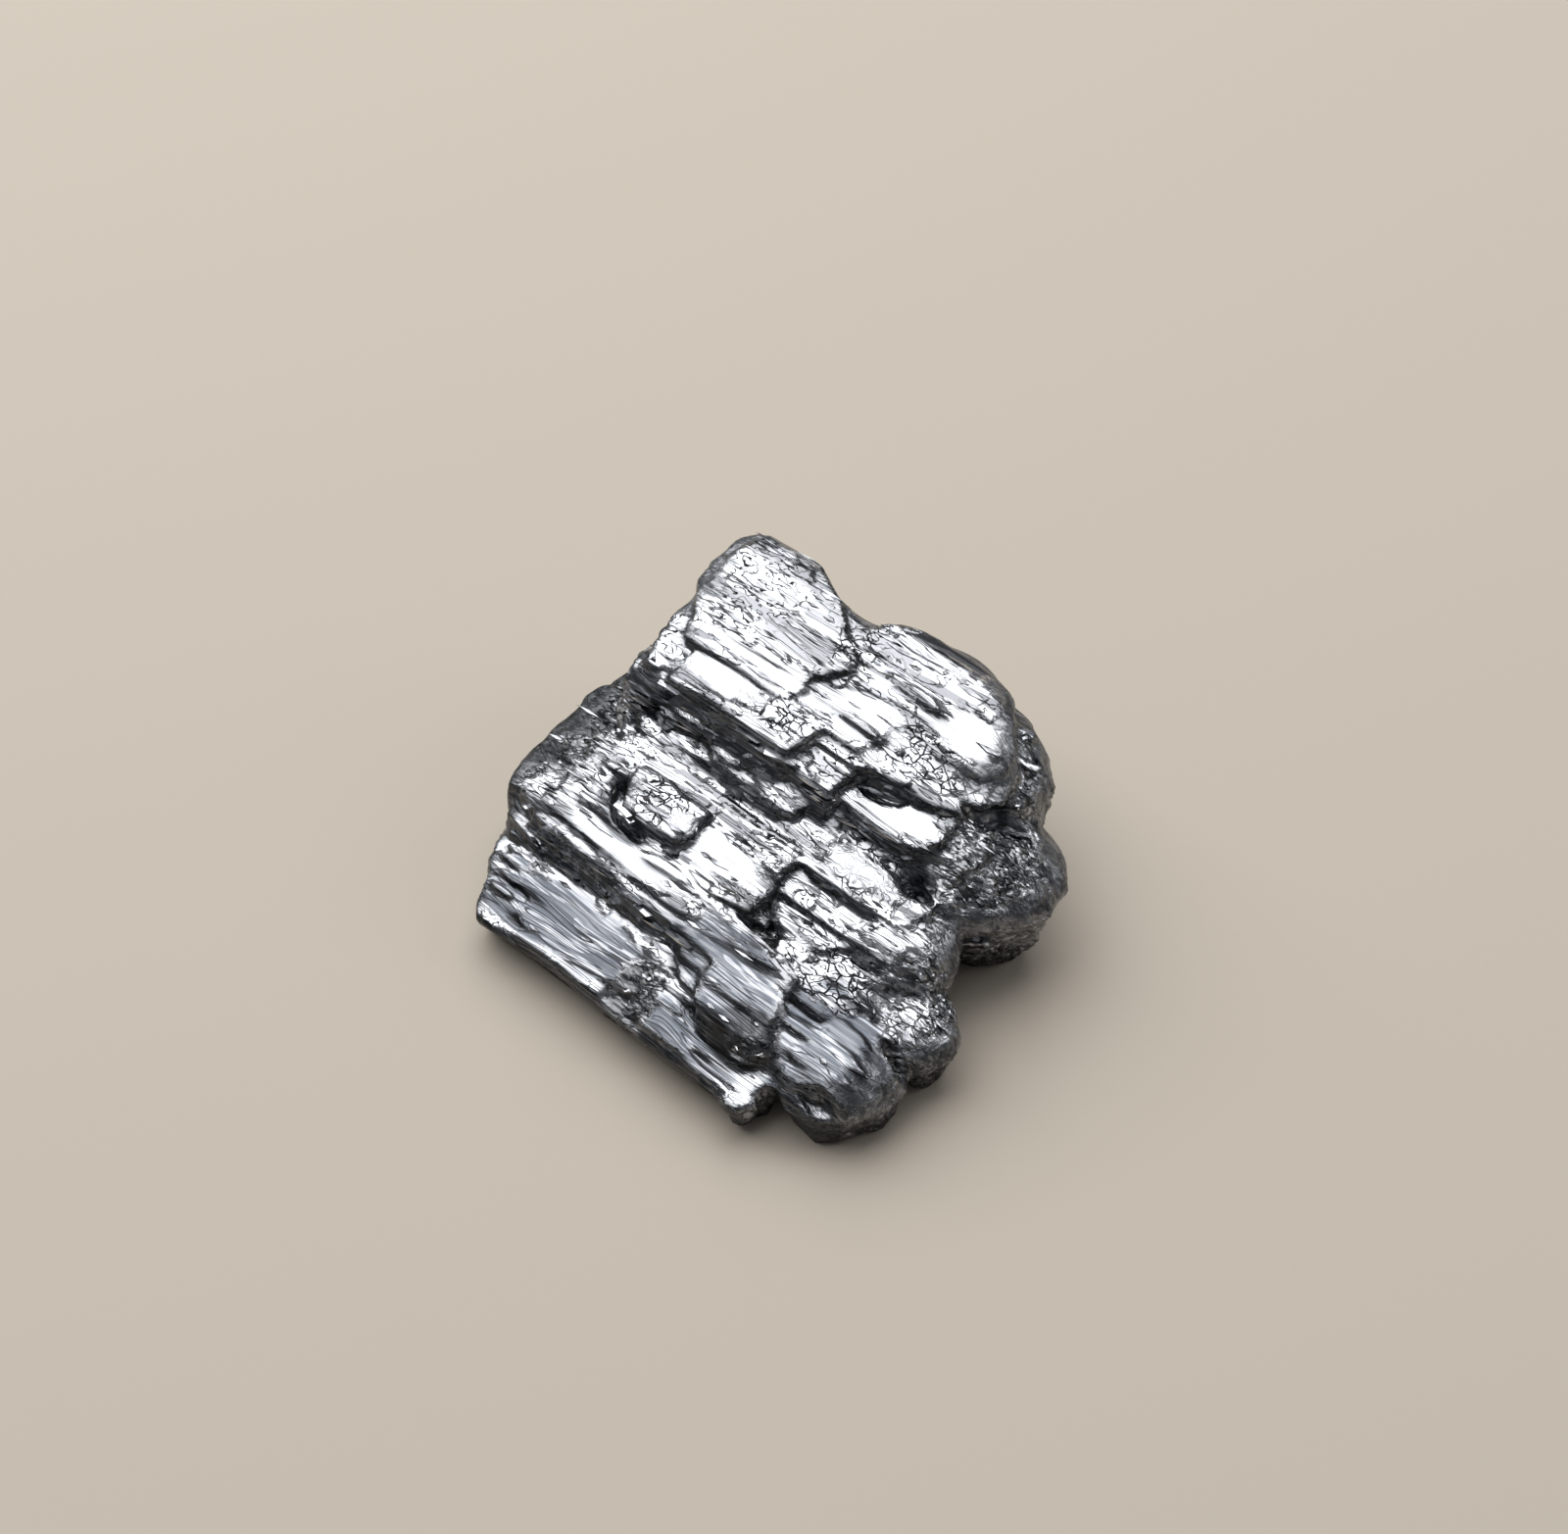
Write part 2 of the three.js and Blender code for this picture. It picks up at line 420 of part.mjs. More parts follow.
// Right blocks: stepped crystals between the top plates and the lobes
function rightBlocks() {
  const stair = crystal({
    front: [[-1.8, 4], [-1.5, 8.3]],
    top: [[-1.3, 8.6], [-0.7, 8.75], [-0.55, 9.3], [0.1, 9.45], [0.3, 10.0], [0.9, 10.15],
      [1.1, 10.6]],
    rear: [[2.4, 10.9], [2.4, 4]],
    outline: [[1.8, 2.2], [2.0, -1.9], [4.9, -1.9], [6.2, -0.6], [6.6, 2.2]],
    ends: { waist: 8, tuck: 0 },
  });
  const nook = crystal({
    front: [[-3.6, 5], [-3.4, 7.1]],
    top: [[-3.3, 7.35], [-1.8, 7.95], [-0.4, 8.7], [1.0, 9.6]],
    rear: [[1.6, 9.8], [1.6, 5]],
    outline: [[4.6, 1.4], [4.4, -3.6], [7.3, -3.4], [7.4, 1.4]],
    climb: -0.05,
    ends: { waist: 7, tuck: 0 },
  });
  const corner = lofted([
    [[1.2, -2.7, 7], [4.4, -2.9, 7], [5.0, -0.8, 7], [1.4, -0.2, 7]],
    [[1.5, -2.2, 8.9], [3.9, -2.4, 8.4], [4.3, -0.9, 9.0], [1.8, -0.7, 10.1]],
  ]);
  const underStep = crystal({
    front: [[1.2, 6], [1.6, 10.7]],
    top: striated([1.75, 11.1], [5.2, 11.7], [4, 2, 5, 3]),
    rear: [[5.6, 11.6], [5.6, 6]],
    outline: [[2.2, 5.6], [2.6, 2.9], [2.4, 1.2], [5.5, 1.2], [6.3, 2.4], [7.2, 5.6]],
    ends: { waist: 8, tuck: 0, lean: 0.03 },
  });
  const slopingBlock = crystal({
    front: [[0.7, 4], [0.95, 9.3], [1.45, 10.15]],
    top: striated([1.6, 10.35], [5.6, 11.1], [3, 2, 4, 3]),
    rear: [[8.6, 11.1], [8.6, 4]],
    outline: [[6.4, 7], [6.2, 2.4], [6.9, 1.2], [8.8, 1.1], [10.8, 1.8], [12.6, 2.5], [13.6, 3.9],
      [13.4, 7.0]],
    climb: -0.12,
    ends: { waist: 8, tuck: 0, lean: 0.06 },
  });
  const facet = crystal({
    front: [[-1.2, 5], [-0.85, 7.6], [-0.6, 8.7]],
    top: [[-0.4, 9.05], [0.6, 9.35], [2.1, 9.75]],
    rear: [[3.6, 9.9], [3.6, 5]],
    outline: [[6.7, 3], [6.2, 0.9], [6.7, -0.4], [8.7, -1.05], [11.4, -0.9], [12.4, -0.2], [12.9, 0.9],
      [12.6, 3]],
    climb: -0.02,
    ends: { waist: 7, tuck: 0, lean: 0.04 },
  });
  const cracked = crystal({
    front: [[-4.9, 3], [-4.6, 6.3], [-4.3, 7.05]],
    top: striated([-4.1, 7.3], [-0.4, 7.75], [5, 2, 4, 7, 3], 0.1),
    rear: [[0.4, 7.8], [0.4, 3]],
    outline: [[6.5, 0.2], [6.7, -2.4], [7.1, -4.2], [8.6, -4.55], [10.6, -4.7], [12.4, -4.6],
      [13.8, -4.3], [14.6, -2.4], [14.4, 0.2]],
    climb: -0.05,
    ends: { waist: 6, tuck: 0, lean: 0.03 },
  });
  const boss = lobe({
    at: [10.4, -2.2, 7.0], size: [3.0, 1.9, 0.9], under: [2, 0.9], rings: 2, sides: 10, seed: 9,
  });
  const lensStrip = crystal({
    front: [[-6.9, 3], [-6.3, 5.4], [-6.0, 6.0]],
    top: striated([-5.85, 6.2], [-4.4, 6.45], [3, 2, 3], 0.08),
    rear: [[-3.4, 6.4], [-3.4, 3]],
    outline: [[6.2, -3.6], [6.6, -5.6], [8.0, -6.2], [10.5, -6.5], [12.6, -6.2], [14.0, -5.0],
      [14.6, -3.6]],
    climb: -0.05,
    ends: { waist: 5, tuck: 0, lean: 0.03 },
  });
  const smallStrip = crystal({
    front: [[-7.6, 2], [-7.35, 5.45]],
    top: [[-7.2, 5.65], [-6.3, 5.75]],
    rear: [[-5.5, 5.7], [-5.5, 2]],
    outline: [[7.9, -5.6], [8.1, -7.5], [11.5, -7.4], [12.0, -5.6]],
  });
  const brightWedge = lofted([
    [[8.2, -9.0, 4], [10.6, -9.0, 4], [10.9, -7.2, 4], [8.0, -7.2, 4]],
    [[9.0, -8.7, 5.35], [9.8, -8.7, 5.35], [10.3, -7.7, 5.6], [8.7, -7.7, 5.6]],
  ]);
  const strips = crystal({
    front: [[-13.2, 2], [-13.0, 4.0]],
    top: [[-12.85, 4.25], [-12.1, 4.45], [-11.95, 4.8], [-11.35, 5.0], [-11.2, 5.4], [-10.5, 5.6],
      [-10.35, 5.8], [-9.6, 5.95], [-9.5, 6.1], [-8.7, 6.25]],
    rear: [[-8.45, 5.4], [-8.4, 2]],
    outline: [[5.0, -8.2], [4.1, -9.4], [4.3, -10.8], [4.9, -12.0], [5.9, -12.9], [7.6, -13.3],
      [9.8, -12.7], [11.3, -10.8], [11.7, -9.2], [9.3, -8.2]],
    climb: -0.07,
    ends: { waist: 4, tuck: 0, lean: 0.03 },
  });
  const raised = crystal({
    front: [[-14.7, 1.5], [-14.35, 3.4], [-13.95, 4.7]],
    top: striated([-13.75, 5.05], [-11.3, 5.5], [3, 3, 4, 2], 0.14),
    rear: [[-10.7, 5.4], [-10.7, 1.5]],
    outline: [[6.9, -10.8], [6.9, -12.4], [7.6, -13.5], [8.6, -14.3], [10.4, -14.5], [11.6, -14.0],
      [12.1, -12.6], [11.7, -10.8]],
    climb: -0.03,
    ends: { waist: 3.4, tuck: 0, lean: 0.06 },
  });
  const nodules = [
    lobe({ at: [5.7, -7.3, 5.3], size: [1.3, 0.9, 0.9], under: [3, 0.9], rings: 2, sides: 8, seed: 7 }),
    lobe({ at: [7.1, -6.6, 5.2], size: [1.0, 0.9, 0.7], under: [3, 0.9], rings: 2, sides: 7, seed: 8 }),
    lobe({ at: [5.0, -8.4, 5.2], size: [0.9, 0.7, 0.6], under: [3, 0.9], rings: 2, sides: 7, seed: 9 }),
  ];
  const darkLobe = lobe({
    at: [11.7, -13.2, 3.6], size: [1.3, 1.3, 1.3], under: [2, 0.9], rings: 3, sides: 9, seed: 2,
  });
  const roughField = crystal({
    front: [[-12.9, 1.5], [-12.6, 4.0]],
    top: [[-12.4, 4.3], [-9.4, 4.7], [-6.2, 5.3]],
    rear: [[-4.9, 5.4], [-4.9, 1.5]],
    outline: [[10.6, -4.9], [10.4, -12.9], [14.4, -12.9], [15.4, -9.5], [15.4, -4.9]],
    climb: -0.1,
    ends: { waist: 4, tuck: 0 },
  });
  const blades = [
    sliver([7.6, 11.8], 4.4, 10.95, { width: 0.6 }),
    sliver([3.0, 6.8], 2.9, 11.3, { width: 0.5 }),
    sliver([6.2, 10.6], -9.9, 5.85, { width: 0.5, height: 0.25 }),
    sliver([7.6, 11.0], -12.4, 5.3, { width: 0.6, height: 0.25 }),
    sliver([11.4, 14.6], -9.8, 4.85, { width: 0.8, height: 0.4 }),
    sliver([11.2, 14.4], -11.3, 4.55, { width: 0.7, height: 0.4 }),
  ];
  const grains = [
    ...scatter({ at: [13.2, -7.4], size: [1.6, 1.6], plane: () => 5.15, count: 8, seed: 11 }),
    ...scatter({ at: [13.4, -10.6], size: [1.6, 1.2], plane: () => 4.7, count: 5, seed: 12 }),
    ...scatter({ at: [6.5, -7.7], size: [1.2, 0.7], plane: () => 6.0, count: 4, seed: 13, length: 0.8 }),
    ...scatter({ at: [6.0, -3.6], size: [0.7, 2.2], plane: () => 7.3, count: 5, seed: 15 }),
  ];
  return [stair, nook, corner, underStep, slopingBlock, facet, cracked, boss, lensStrip, smallStrip,
    brightWedge, strips, raised, ...nodules, darkLobe, roughField, ...blades, ...grains];
}

// Right lobes: rounded ends that overhang the foot
function rightLobes() {
  const upper = lobe({
    at: [14.0, 3.0, 5.9], size: [4.7, 4.9, 3.1], under: [5.9, 0.5], sides: 15, rings: 4, flat: 1.5,
    lean: -0.35, seed: 1,
  });
  const upperRear = lobe({
    at: [9.9, 6.9, 8.2], size: [4.7, 4.7, 3.0], under: [8.2, 0.66], sides: 14, rings: 4, flat: 1.7,
    lean: -0.3, seed: 6,
  });
  const side = lobe({
    at: [13.8, -3.4, 5.2], size: [3.4, 3.4, 1.9], under: [5.2, 0.75], sides: 12, rings: 3, flat: 1.7,
    seed: 3,
  });
  const small = lobe({
    at: [17.1, -6.4, 3.2], size: [2.6, 2.7, 1.7], under: [3.2, 0.62], sides: 11, rings: 3, seed: 2,
  });
  const big = lobe({
    at: [15.3, -10.7, 2.6], size: [4.1, 3.8, 2.2], under: [2.6, 0.78], sides: 15, rings: 4, seed: 5,
  });
  const curvedStrips = [
    [[12.6, 17.4], -9.9, 4.55], [[12.8, 18.0], -11.1, 4.5], [[13.0, 17.8], -12.2, 4.25],
    [[13.4, 17.0], -13.2, 3.8], [[13.8, 18.2], -8.8, 4.4],
  ].map(([span, y, z], i) => sliver(span, y, z, { width: 1.0, height: 0.35, turn: 0.05 * (i % 3) }));
  const upperSlope = (x, y) => 8.7 - 0.45 * Math.abs(x - 13.2) - 0.2 * Math.abs(y - 3);
  const grains = [
    ...scatter({ at: [15.2, 2.8], size: [2.4, 2.6], plane: upperSlope, count: 10, seed: 21, length: 0.9 }),
    ...scatter({ at: [15.0, -3.2], size: [1.6, 1.8], plane: () => 6.3, count: 5, seed: 22 }),
    ...scatter({ at: [16.6, -6.2], size: [1.5, 1.5], plane: () => 4.65, count: 4, seed: 23 }),
    ...scatter({ at: [12.0, 8.4], size: [1.6, 1.4], plane: () => 10.2, count: 4, seed: 24 }),
  ];
  return [upper, upperRear, side, small, big, ...curvedStrips, ...grains];
}

// Left end: a rough rounded end, lower than the plates that it closes
function leftEnd() {
  const stump = crystal({
    front: [[-10.9, BELOW], [-10.9, 4.4], [-10.2, 5.4]],
    top: striated([-9.9, 5.8], [0.6, 6.9], [7, 4, 9, 5, 8, 6], 0.2),
    rear: [[1.8, 6.7], [1.8, BELOW]],
    outline: [[-7, 2], [-10.4, 1.5], [-11.6, 0.7], [-11.9, -0.8], [-11.98, -2.8], [-11.85, -4.4],
      [-11.95, -6.0], [-11.9, -7.6], [-11.6, -8.9], [-10.7, -10.2], [-9.6, -11], [-7, -11]],
    climb: 0.22,
    ends: { waist: 5.2, tuck: 0.16, lean: 0.1 },
  });
  const shoulder = lobe({
    at: [-9.2, 1.6, 7.0], size: [1.7, 1.9, 2.0], under: [5, 0.8], rings: 3, sides: 9, seed: 3,
  });
  const roughSlope = (x, y) => 6.7 + 0.22 * (x + 9.4) + 0.1 * (y + 3);
  const grains = [
    ...scatter({ at: [-9.7, -3.0], size: [1.3, 3.0], plane: roughSlope, count: 7, seed: 31, length: 0.8 }),
    ...scatter({ at: [-9.5, -7.9], size: [1.3, 1.6], plane: roughSlope, count: 4, seed: 32, length: 0.8 }),
  ];
  return [stump, shoulder, ...grains];
}

// Back: two stepped ledges below the top plates, striated like the front
function backLedges() {
  const lowLedge = crystal({
    front: [[4, BELOW], [4, 5.1]],
    top: striated([6, 5.3], [11.6, 4.4], [6, 3, 4, 3], 0.16),
    rear: [[11.85, 3.9], [11.7, 2.2], [10.9, 0.9], [10.0, BELOW]],
    outline: [[-8.9, 5], [-9.5, 8.2], [-8.6, 10.2], [-5.6, 11.1], [-2.2, 10.6], [1.6, 11.4],
      [5.1, 12.1], [9.2, 11.8], [11.9, 10.4], [13.4, 8.2], [13.6, 5]],
    ends: { waist: 2.6, tuck: 0.08, lean: 0.03 },
  });
  const highLedge = crystal({
    front: [[4, 5], [4, 8.3]],
    top: striated([7, 8.9], [11.0, 8.2], [5, 3, 4], 0.16),
    rear: [[11.3, 7.7], [11.1, 6.4], [10.7, 5]],
    outline: [[-4.4, 5], [-4.9, 10.2], [-1.2, 10.5], [2.4, 11.2], [5.9, 11.0], [7.1, 5]],
  });
  const blades = [
    sliver([-7.8, -1.6], 10.7, 5.0, { width: 0.8, height: 0.8, slope: -0.2 }),
    sliver([0.4, 8.2], 11.4, 6.4, { width: 0.9, height: 1.0, slope: -0.2 }),
    sliver([-6.2, 1.2], 10.4, 7.4, { width: 0.8, height: 0.8, slope: -0.2 }),
    sliver([5.6, 11.4], 11.0, 8.6, { width: 0.9, height: 0.8, slope: -0.2 }),
  ];
  return [lowLedge, highLedge, ...blades];
}

// Pits, slots and notches between the crystals
function hollows() {
  return [
    hollow([[6.3, 0.75], [6.9, 0.3], [8.3, 0.7], [10.0, 1.6], [9.9, 2.1], [8.4, 1.5], [7.0, 1.3]],
      10.0, 8.9, 0.3),
    hollow([[-5.6, -6.0], [-5.0, -7.3], [-3.4, -8.7], [-0.8, -9.1], [-1.0, -8.2], [-3.2, -7.8],
      [-4.6, -6.2]], 7.2, 6.1, 0.3),
    hollow([[11.8, -1.3], [13.0, -2.0], [14.4, -1.6], [13.8, -0.6], [12.4, -0.5]], 7.4, 5.9, 0.5),
    hollow([[12.6, 3.6], [14.0, 3.0], [15.9, 4.6], [16.6, 5.8], [15.2, 6.2], [13.4, 5.2]], 8.7, 7.2, 0.4),
    hollow([[16.9, -8.9], [18.6, -9.6], [20.4, -9.3], [20.4, -8.6], [18.4, -8.3]], 4.0, 2.6, 0.4),
    hollow([[15.2, -13.9], [16.2, -14.5], [18.6, -14.0], [18.4, -13.2], [16.4, -13.1]], 3.6, 2.8, 0.4),
    hollow([[-6.7, 1.9], [-6.9, 0.2], [-6.4, -1.4], [-6.0, -1.3], [-6.2, 1.6]], 11.0, 10.0, 0.3),
  ];
}

// The mass: all crystals joined, the hollows taken away, and the foot cut flat
function crystalMass() {
  const grown = joined([
    ...heart(),
    ...frontPlates(),
    ...middlePlates(),
    ...topPlates(),
    ...rightBlocks(),
    ...rightLobes(),
    ...leftEnd(),
    ...backLedges(),
  ]);
  const belowFoot = solid(new THREE.BoxGeometry(80, 80, 20).translate(0, 0, -10));
  return grown.subtract(joined(hollows())).subtract(belowFoot);
}

function toGeometry(manifold) {
  const { vertProperties, triVerts } = manifold.getMesh();
  const geometry = new THREE.BufferGeometry();
  geometry.setAttribute('position', new THREE.Float32BufferAttribute(vertProperties, 3));
  geometry.setIndex([...triVerts]);
  return geometry;
}

// The origin is the bottom centre of the mass's box.
const geometry = toGeometry(crystalMass());
geometry.computeBoundingBox();
const { min, max } = geometry.boundingBox;
geometry.translate(-(min.x + max.x) / 2, -(min.y + max.y) / 2, -min.z);
geometry.computeVertexNormals();

const andorite = new THREE.Mesh(
  geometry,
  new THREE.MeshStandardMaterial({ color: '#8d8e92', roughness: 0.3, metalness: 1, flatShading: true }),
);
andorite.name = 'andorite_crystals';

const specimen = new THREE.Group();
specimen.add(andorite);
export default specimen;
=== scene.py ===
import itertools
import math

import bmesh
import bpy
import numpy as np
from bpy.props import FloatProperty, FloatVectorProperty, IntProperty, PointerProperty
from mathutils import Matrix, Vector


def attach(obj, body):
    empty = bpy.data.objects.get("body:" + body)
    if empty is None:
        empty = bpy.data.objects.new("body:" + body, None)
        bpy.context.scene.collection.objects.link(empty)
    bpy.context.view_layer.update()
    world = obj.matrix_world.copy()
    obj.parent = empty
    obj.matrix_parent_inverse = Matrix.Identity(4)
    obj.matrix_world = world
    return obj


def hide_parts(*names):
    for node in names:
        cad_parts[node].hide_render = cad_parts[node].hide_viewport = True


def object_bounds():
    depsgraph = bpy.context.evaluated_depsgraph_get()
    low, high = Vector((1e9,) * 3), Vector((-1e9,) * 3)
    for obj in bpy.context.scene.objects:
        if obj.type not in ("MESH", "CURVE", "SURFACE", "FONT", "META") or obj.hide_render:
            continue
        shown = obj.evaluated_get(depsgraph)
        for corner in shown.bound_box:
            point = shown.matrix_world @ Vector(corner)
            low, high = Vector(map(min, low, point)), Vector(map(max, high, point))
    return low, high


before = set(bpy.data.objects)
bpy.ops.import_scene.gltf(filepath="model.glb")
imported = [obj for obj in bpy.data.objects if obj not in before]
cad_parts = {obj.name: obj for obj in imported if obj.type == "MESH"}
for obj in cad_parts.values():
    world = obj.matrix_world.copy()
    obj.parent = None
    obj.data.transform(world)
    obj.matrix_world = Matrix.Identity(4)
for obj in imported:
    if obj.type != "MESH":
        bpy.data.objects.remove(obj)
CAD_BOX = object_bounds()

bl_info = {
    "name": "Andorite Specimen",
    "version": (1, 0, 0),
    "blender": (4, 5, 0),
    "location": "3D View > Sidebar > Andorite",
    "description": "Builds a mass of intergrown, striated andorite crystals around its solid",
    "category": "Add Mesh",
}

MM = 0.001
NODE = "andorite_crystals"
MASS = "andorite_mass"

# How the mesh is made finer. Everything runs along X on andorite, so a face of the fine
# mesh may be longer that way than it is wide.
ALONG = 0.4  # the mass is shortened to this share along X while it is remeshed
RIM_STEPS = 120  # directions in which the outline is measured
FOOT = 0.03  # what is lower than this, in mm, is the flat face it rests on
BROAD_ROUNDS = 5  # rounds of averaging that give a face its broad direction
EDGE_ROUNDS = 3  # rounds by which the edges' share spreads
SOFT_ROUNDS = 10  # rounds of averaging that give the worn surface
RIM_MARGIN = 0.8  # small crystals stay this much further from the rims, in mm

# Seeds of the noises, so that each has its own pattern
WAVE_SEEDS = (1, 2, 3)
ZONE_SEED = 5
CRUMB_SEED = 6
ISLAND_SEED = 8
RIM_SEED = 9
WEAR_SEED = 10
STEP_SEED = 11
FINE_SEED = 12
CRACK_SEED = 13
LUMP_SEED = 14
GRAIN_SEED = 15
DRIFT_SEEDS = (31, 32, 33)
SMALL_DRIFT_SEEDS = (34, 35, 36)

# Zones of the surface: middle in X and Y, half width in X and Y and top height, in mm
ROUGH_ENDS = [
    (11.4, 5.0, 3.0, 3.8, 9.4),  # upper right lobe
    (10.4, -0.9, 2.6, 2.2, 6.4),  # side lobe
    (13.4, -4.0, 2.7, 2.7, 6.0),  # small lobe
    (7.9, -10.8, 1.4, 1.5, 4.9),  # dark end of the raised block
    (-13.9, -1.6, 2.2, 5.8, 9.0),  # left end
    (-12.8, 4.2, 1.4, 1.8, 10.0),  # left shoulder
    (0.0, -12.6, 1.7, 2.4, 5.0),  # break in the front plate
    (2.4, -5.0, 1.5, 0.9, 6.8),  # nodules at the end of the middle plate
]
MATTE_FLANKS = [
    (-16.2, -1.5, 2.1, 5.6, 8.5),  # outer side of the left end
]
CALM_FACES = [
    (6.2, 3.3, 2.8, 1.0, 9.9),  # bright facet
    (-5.6, 5.1, 4.6, 0.8, 13.0),  # front band of the left top crystal
    (-5.9, -6.9, 5.6, 0.8, 8.0),  # front band of the middle plate
    (-0.9, -4.3, 3.2, 1.1, 8.2),  # right part of the middle plate
    (1.3, 6.4, 3.0, 1.0, 13.0),  # strips between the top crystals
    (6.4, 8.6, 2.6, 1.4, 13.0),  # right part of the right top crystal
    (-7.0, 3.1, 3.4, 0.9, 12.0),  # shelf over the high wall
    (6.5, 0.1, 2.8, 1.3, 8.6),  # cracked block
]
CRACKLED_FACES = [
    (-5.5, -3.9, 2.9, 1.5, 8.8),  # cluster on the middle plate
    (6.2, 0.2, 3.4, 1.9, 8.8),  # cracked block
    (-2.4, 9.4, 1.6, 2.4, 13.0),  # seam between the top crystals
    (-3.4, 3.0, 3.0, 1.1, 12.6),  # crumbs in front of the right top crystal
    (5.0, 6.4, 3.4, 1.3, 12.2),  # step under the right top crystal
    (9.2, -5.6, 2.4, 2.0, 6.8),  # rough field
]
SILKY_FACES = [
    (-6.0, -11.6, 8.5, 2.2, 5.0),  # front plates
    (4.5, -12.4, 5.0, 1.8, 4.6),  # front plates, right half
    (11.2, -8.4, 4.4, 4.2, 5.6),  # big lobe
    (3.4, -8.4, 3.8, 2.0, 6.6),  # stair behind the raised block
    (5.2, -9.6, 3.6, 2.2, 6.2),  # raised block
]
# Painted shade: recesses where shadow falls, painted dark like the walls
PAINTED_SHADE_RECESSES = [
    (-7.0, -6.1, 2.1, 0.75, 8.0),  # foot of the cluster on the middle plate
    (-9.0, -4.6, 0.8, 0.9, 8.0),  # left side of the cluster
]
# Zones that are painted darker, nearly black
DARKER_ZONES = [
    (-15.3, -1.8, 2.5, 6.0, 9.0),  # left end
    (0.0, -12.6, 1.5, 2.0, 5.0),  # break in the front plate
    (2.4, -5.0, 1.5, 0.9, 6.8),  # nodules at the end of the middle plate
    (7.4, -11.0, 2.1, 1.5, 6.0),  # end of the raised block
]
# Outlines with a rounded rim: the middle they are seen from in X and Y, the lowest
# point that counts, the width of the rim, how far the surface drops towards it, and how
# far the rim reaches round to the front at the right
RIMS = [
    (0.0, 0.0, 0.0, 0.8, 0.0, 0.35),  # whole mass
    (-2.0, 7.6, 11.0, 1.3, 0.25, 0.0),  # top crystals
]

# What each point of the mass has its share of, from 0 to 1; some shares are painted shade: on walls, in
# recesses and near the floor
LOOKS = ("rough", "silky", "quiet", "crumbly", "matte", "shaded_wall", "dark_zone_and_foot_shade")  # kinds of surface
MASKS = ("grainy", "plate", "ledges")  # where small crystals are strewn

# Colours of the mass, besides its clean faces
STRIP_GREY = "#5f6165"  # darker narrow crystals
SILK = "#565a61"
SEAM_AND_SHADE = "#1b1b1c"  # cracks, gaps, darker zones and painted shade near the floor
HAIRLINE_GREY = "#4c4d51"
# Painted shade on the walls that don't face up, and its lighter striation lines
SHADED_WALL_GREY = "#24272b"
SHADED_WALL_LINE = "#686b70"
GRAIN_DARK = "#37383b"
FLANK = "#3e4044"
FLANK_LIGHT = "#85878b"

# How much slower a pattern changes along X than across it
HAIR_STRETCH = 0.025
STRIP_STRETCH = 0.09
GRAIN_STRETCH = 0.42
CELL_STRETCH = 0.7
CHIP_STRETCH = 0.3

# Noise scales: about as many lumps or cells to the millimetre, across X
HAIRS = 1.8
BANDS = 0.55
STRIPS = 1.6
TERRACES = 1.25
SILK_LINES = 6.0
PATCHES = 0.45
CRACKLE_CELLS = 1.5
GRAINS = 2.4
MORE_FINE_GRAINS = 2.9
FINE_PATCHES = 0.9
MOTTLES = 3.4
SMEARS = 0.9

CHIP_SIDES = 4  # sides of a small crystal
CHIP_SINK = 0.35  # how deep its base lies, as a share of its height
SIZE_SEED_STEP = 7  # added to the seed for the crystals' sizes

# Stage, with lengths in metres
FLOOR_HALF = 1.5
SKY = (0.15, 0.15, 0.16, 1)
LIGHT_DISTANCE = 0.5
KEY_DIRECTION, KEY_SIZE = (-0.46, 0.16, 0.87), 0.76
REAR_DIRECTION, REAR_SIZE, REAR_POWER = (0.55, 0.65, 0.55), 0.2, 0.3
SENSOR_WIDTH, FOCAL_LENGTH = 36, 62.02  # in mm
# The photograph's view: 44 degrees round from the front and 48 degrees up
CAMERA_PLACE = Matrix(
    (
        (0.7379, -0.4876, 0.4667, 0.0693),
        (0.6746, 0.5549, -0.4868, -0.07205),
        (-0.0216, 0.6740, 0.7384, 0.1210),
        (0, 0, 0, 1),
    )
)


def linear(hex_colour):
    """sRGB hex to the linear colour that Blender's sockets take."""
    parts = [int(hex_colour[i : i + 2], 16) / 255 for i in (1, 3, 5)]
    return [c / 12.92 if c <= 0.04045 else ((c + 0.055) / 1.055) ** 2.4 for c in parts]


def add_node(tree, kind, inputs=None, **settings):
    """Adds a node with its settings. An input takes a value or another node's output."""
    node = tree.nodes.new(kind)
    for key, value in settings.items():
        setattr(node, key, value)
    for key, value in (inputs or {}).items():
        if isinstance(value, bpy.types.NodeSocket):
            tree.links.new(value, node.inputs[key])
        else:
            node.inputs[key].default_value = value
    return node


def math_node(tree, operation, *values):
    return add_node(tree, "ShaderNodeMath", dict(enumerate(values)), operation=operation).outputs[0]


def vector_node(tree, operation, *values):
    return add_node(tree, "ShaderNodeVectorMath", dict(enumerate(values)), operation=operation).outputs[0]


# Noise on arrays of points


def corner_values(corner, seed):
    """One repeatable number from 0 to 1 for each corner of a lattice."""
    mixed_up = corner[:, 0] * 73856093 ^ corner[:, 1] * 19349663 ^ corner[:, 2] * 83492791
    mixed_up = (mixed_up ^ (seed * 2654435761)) & 0xFFFFFFFF
    mixed_up = ((mixed_up ^ (mixed_up >> 13)) * 1274126177) & 0xFFFFFFFF
    return ((mixed_up ^ (mixed_up >> 16)) & 0xFFFF) / 0xFFFF


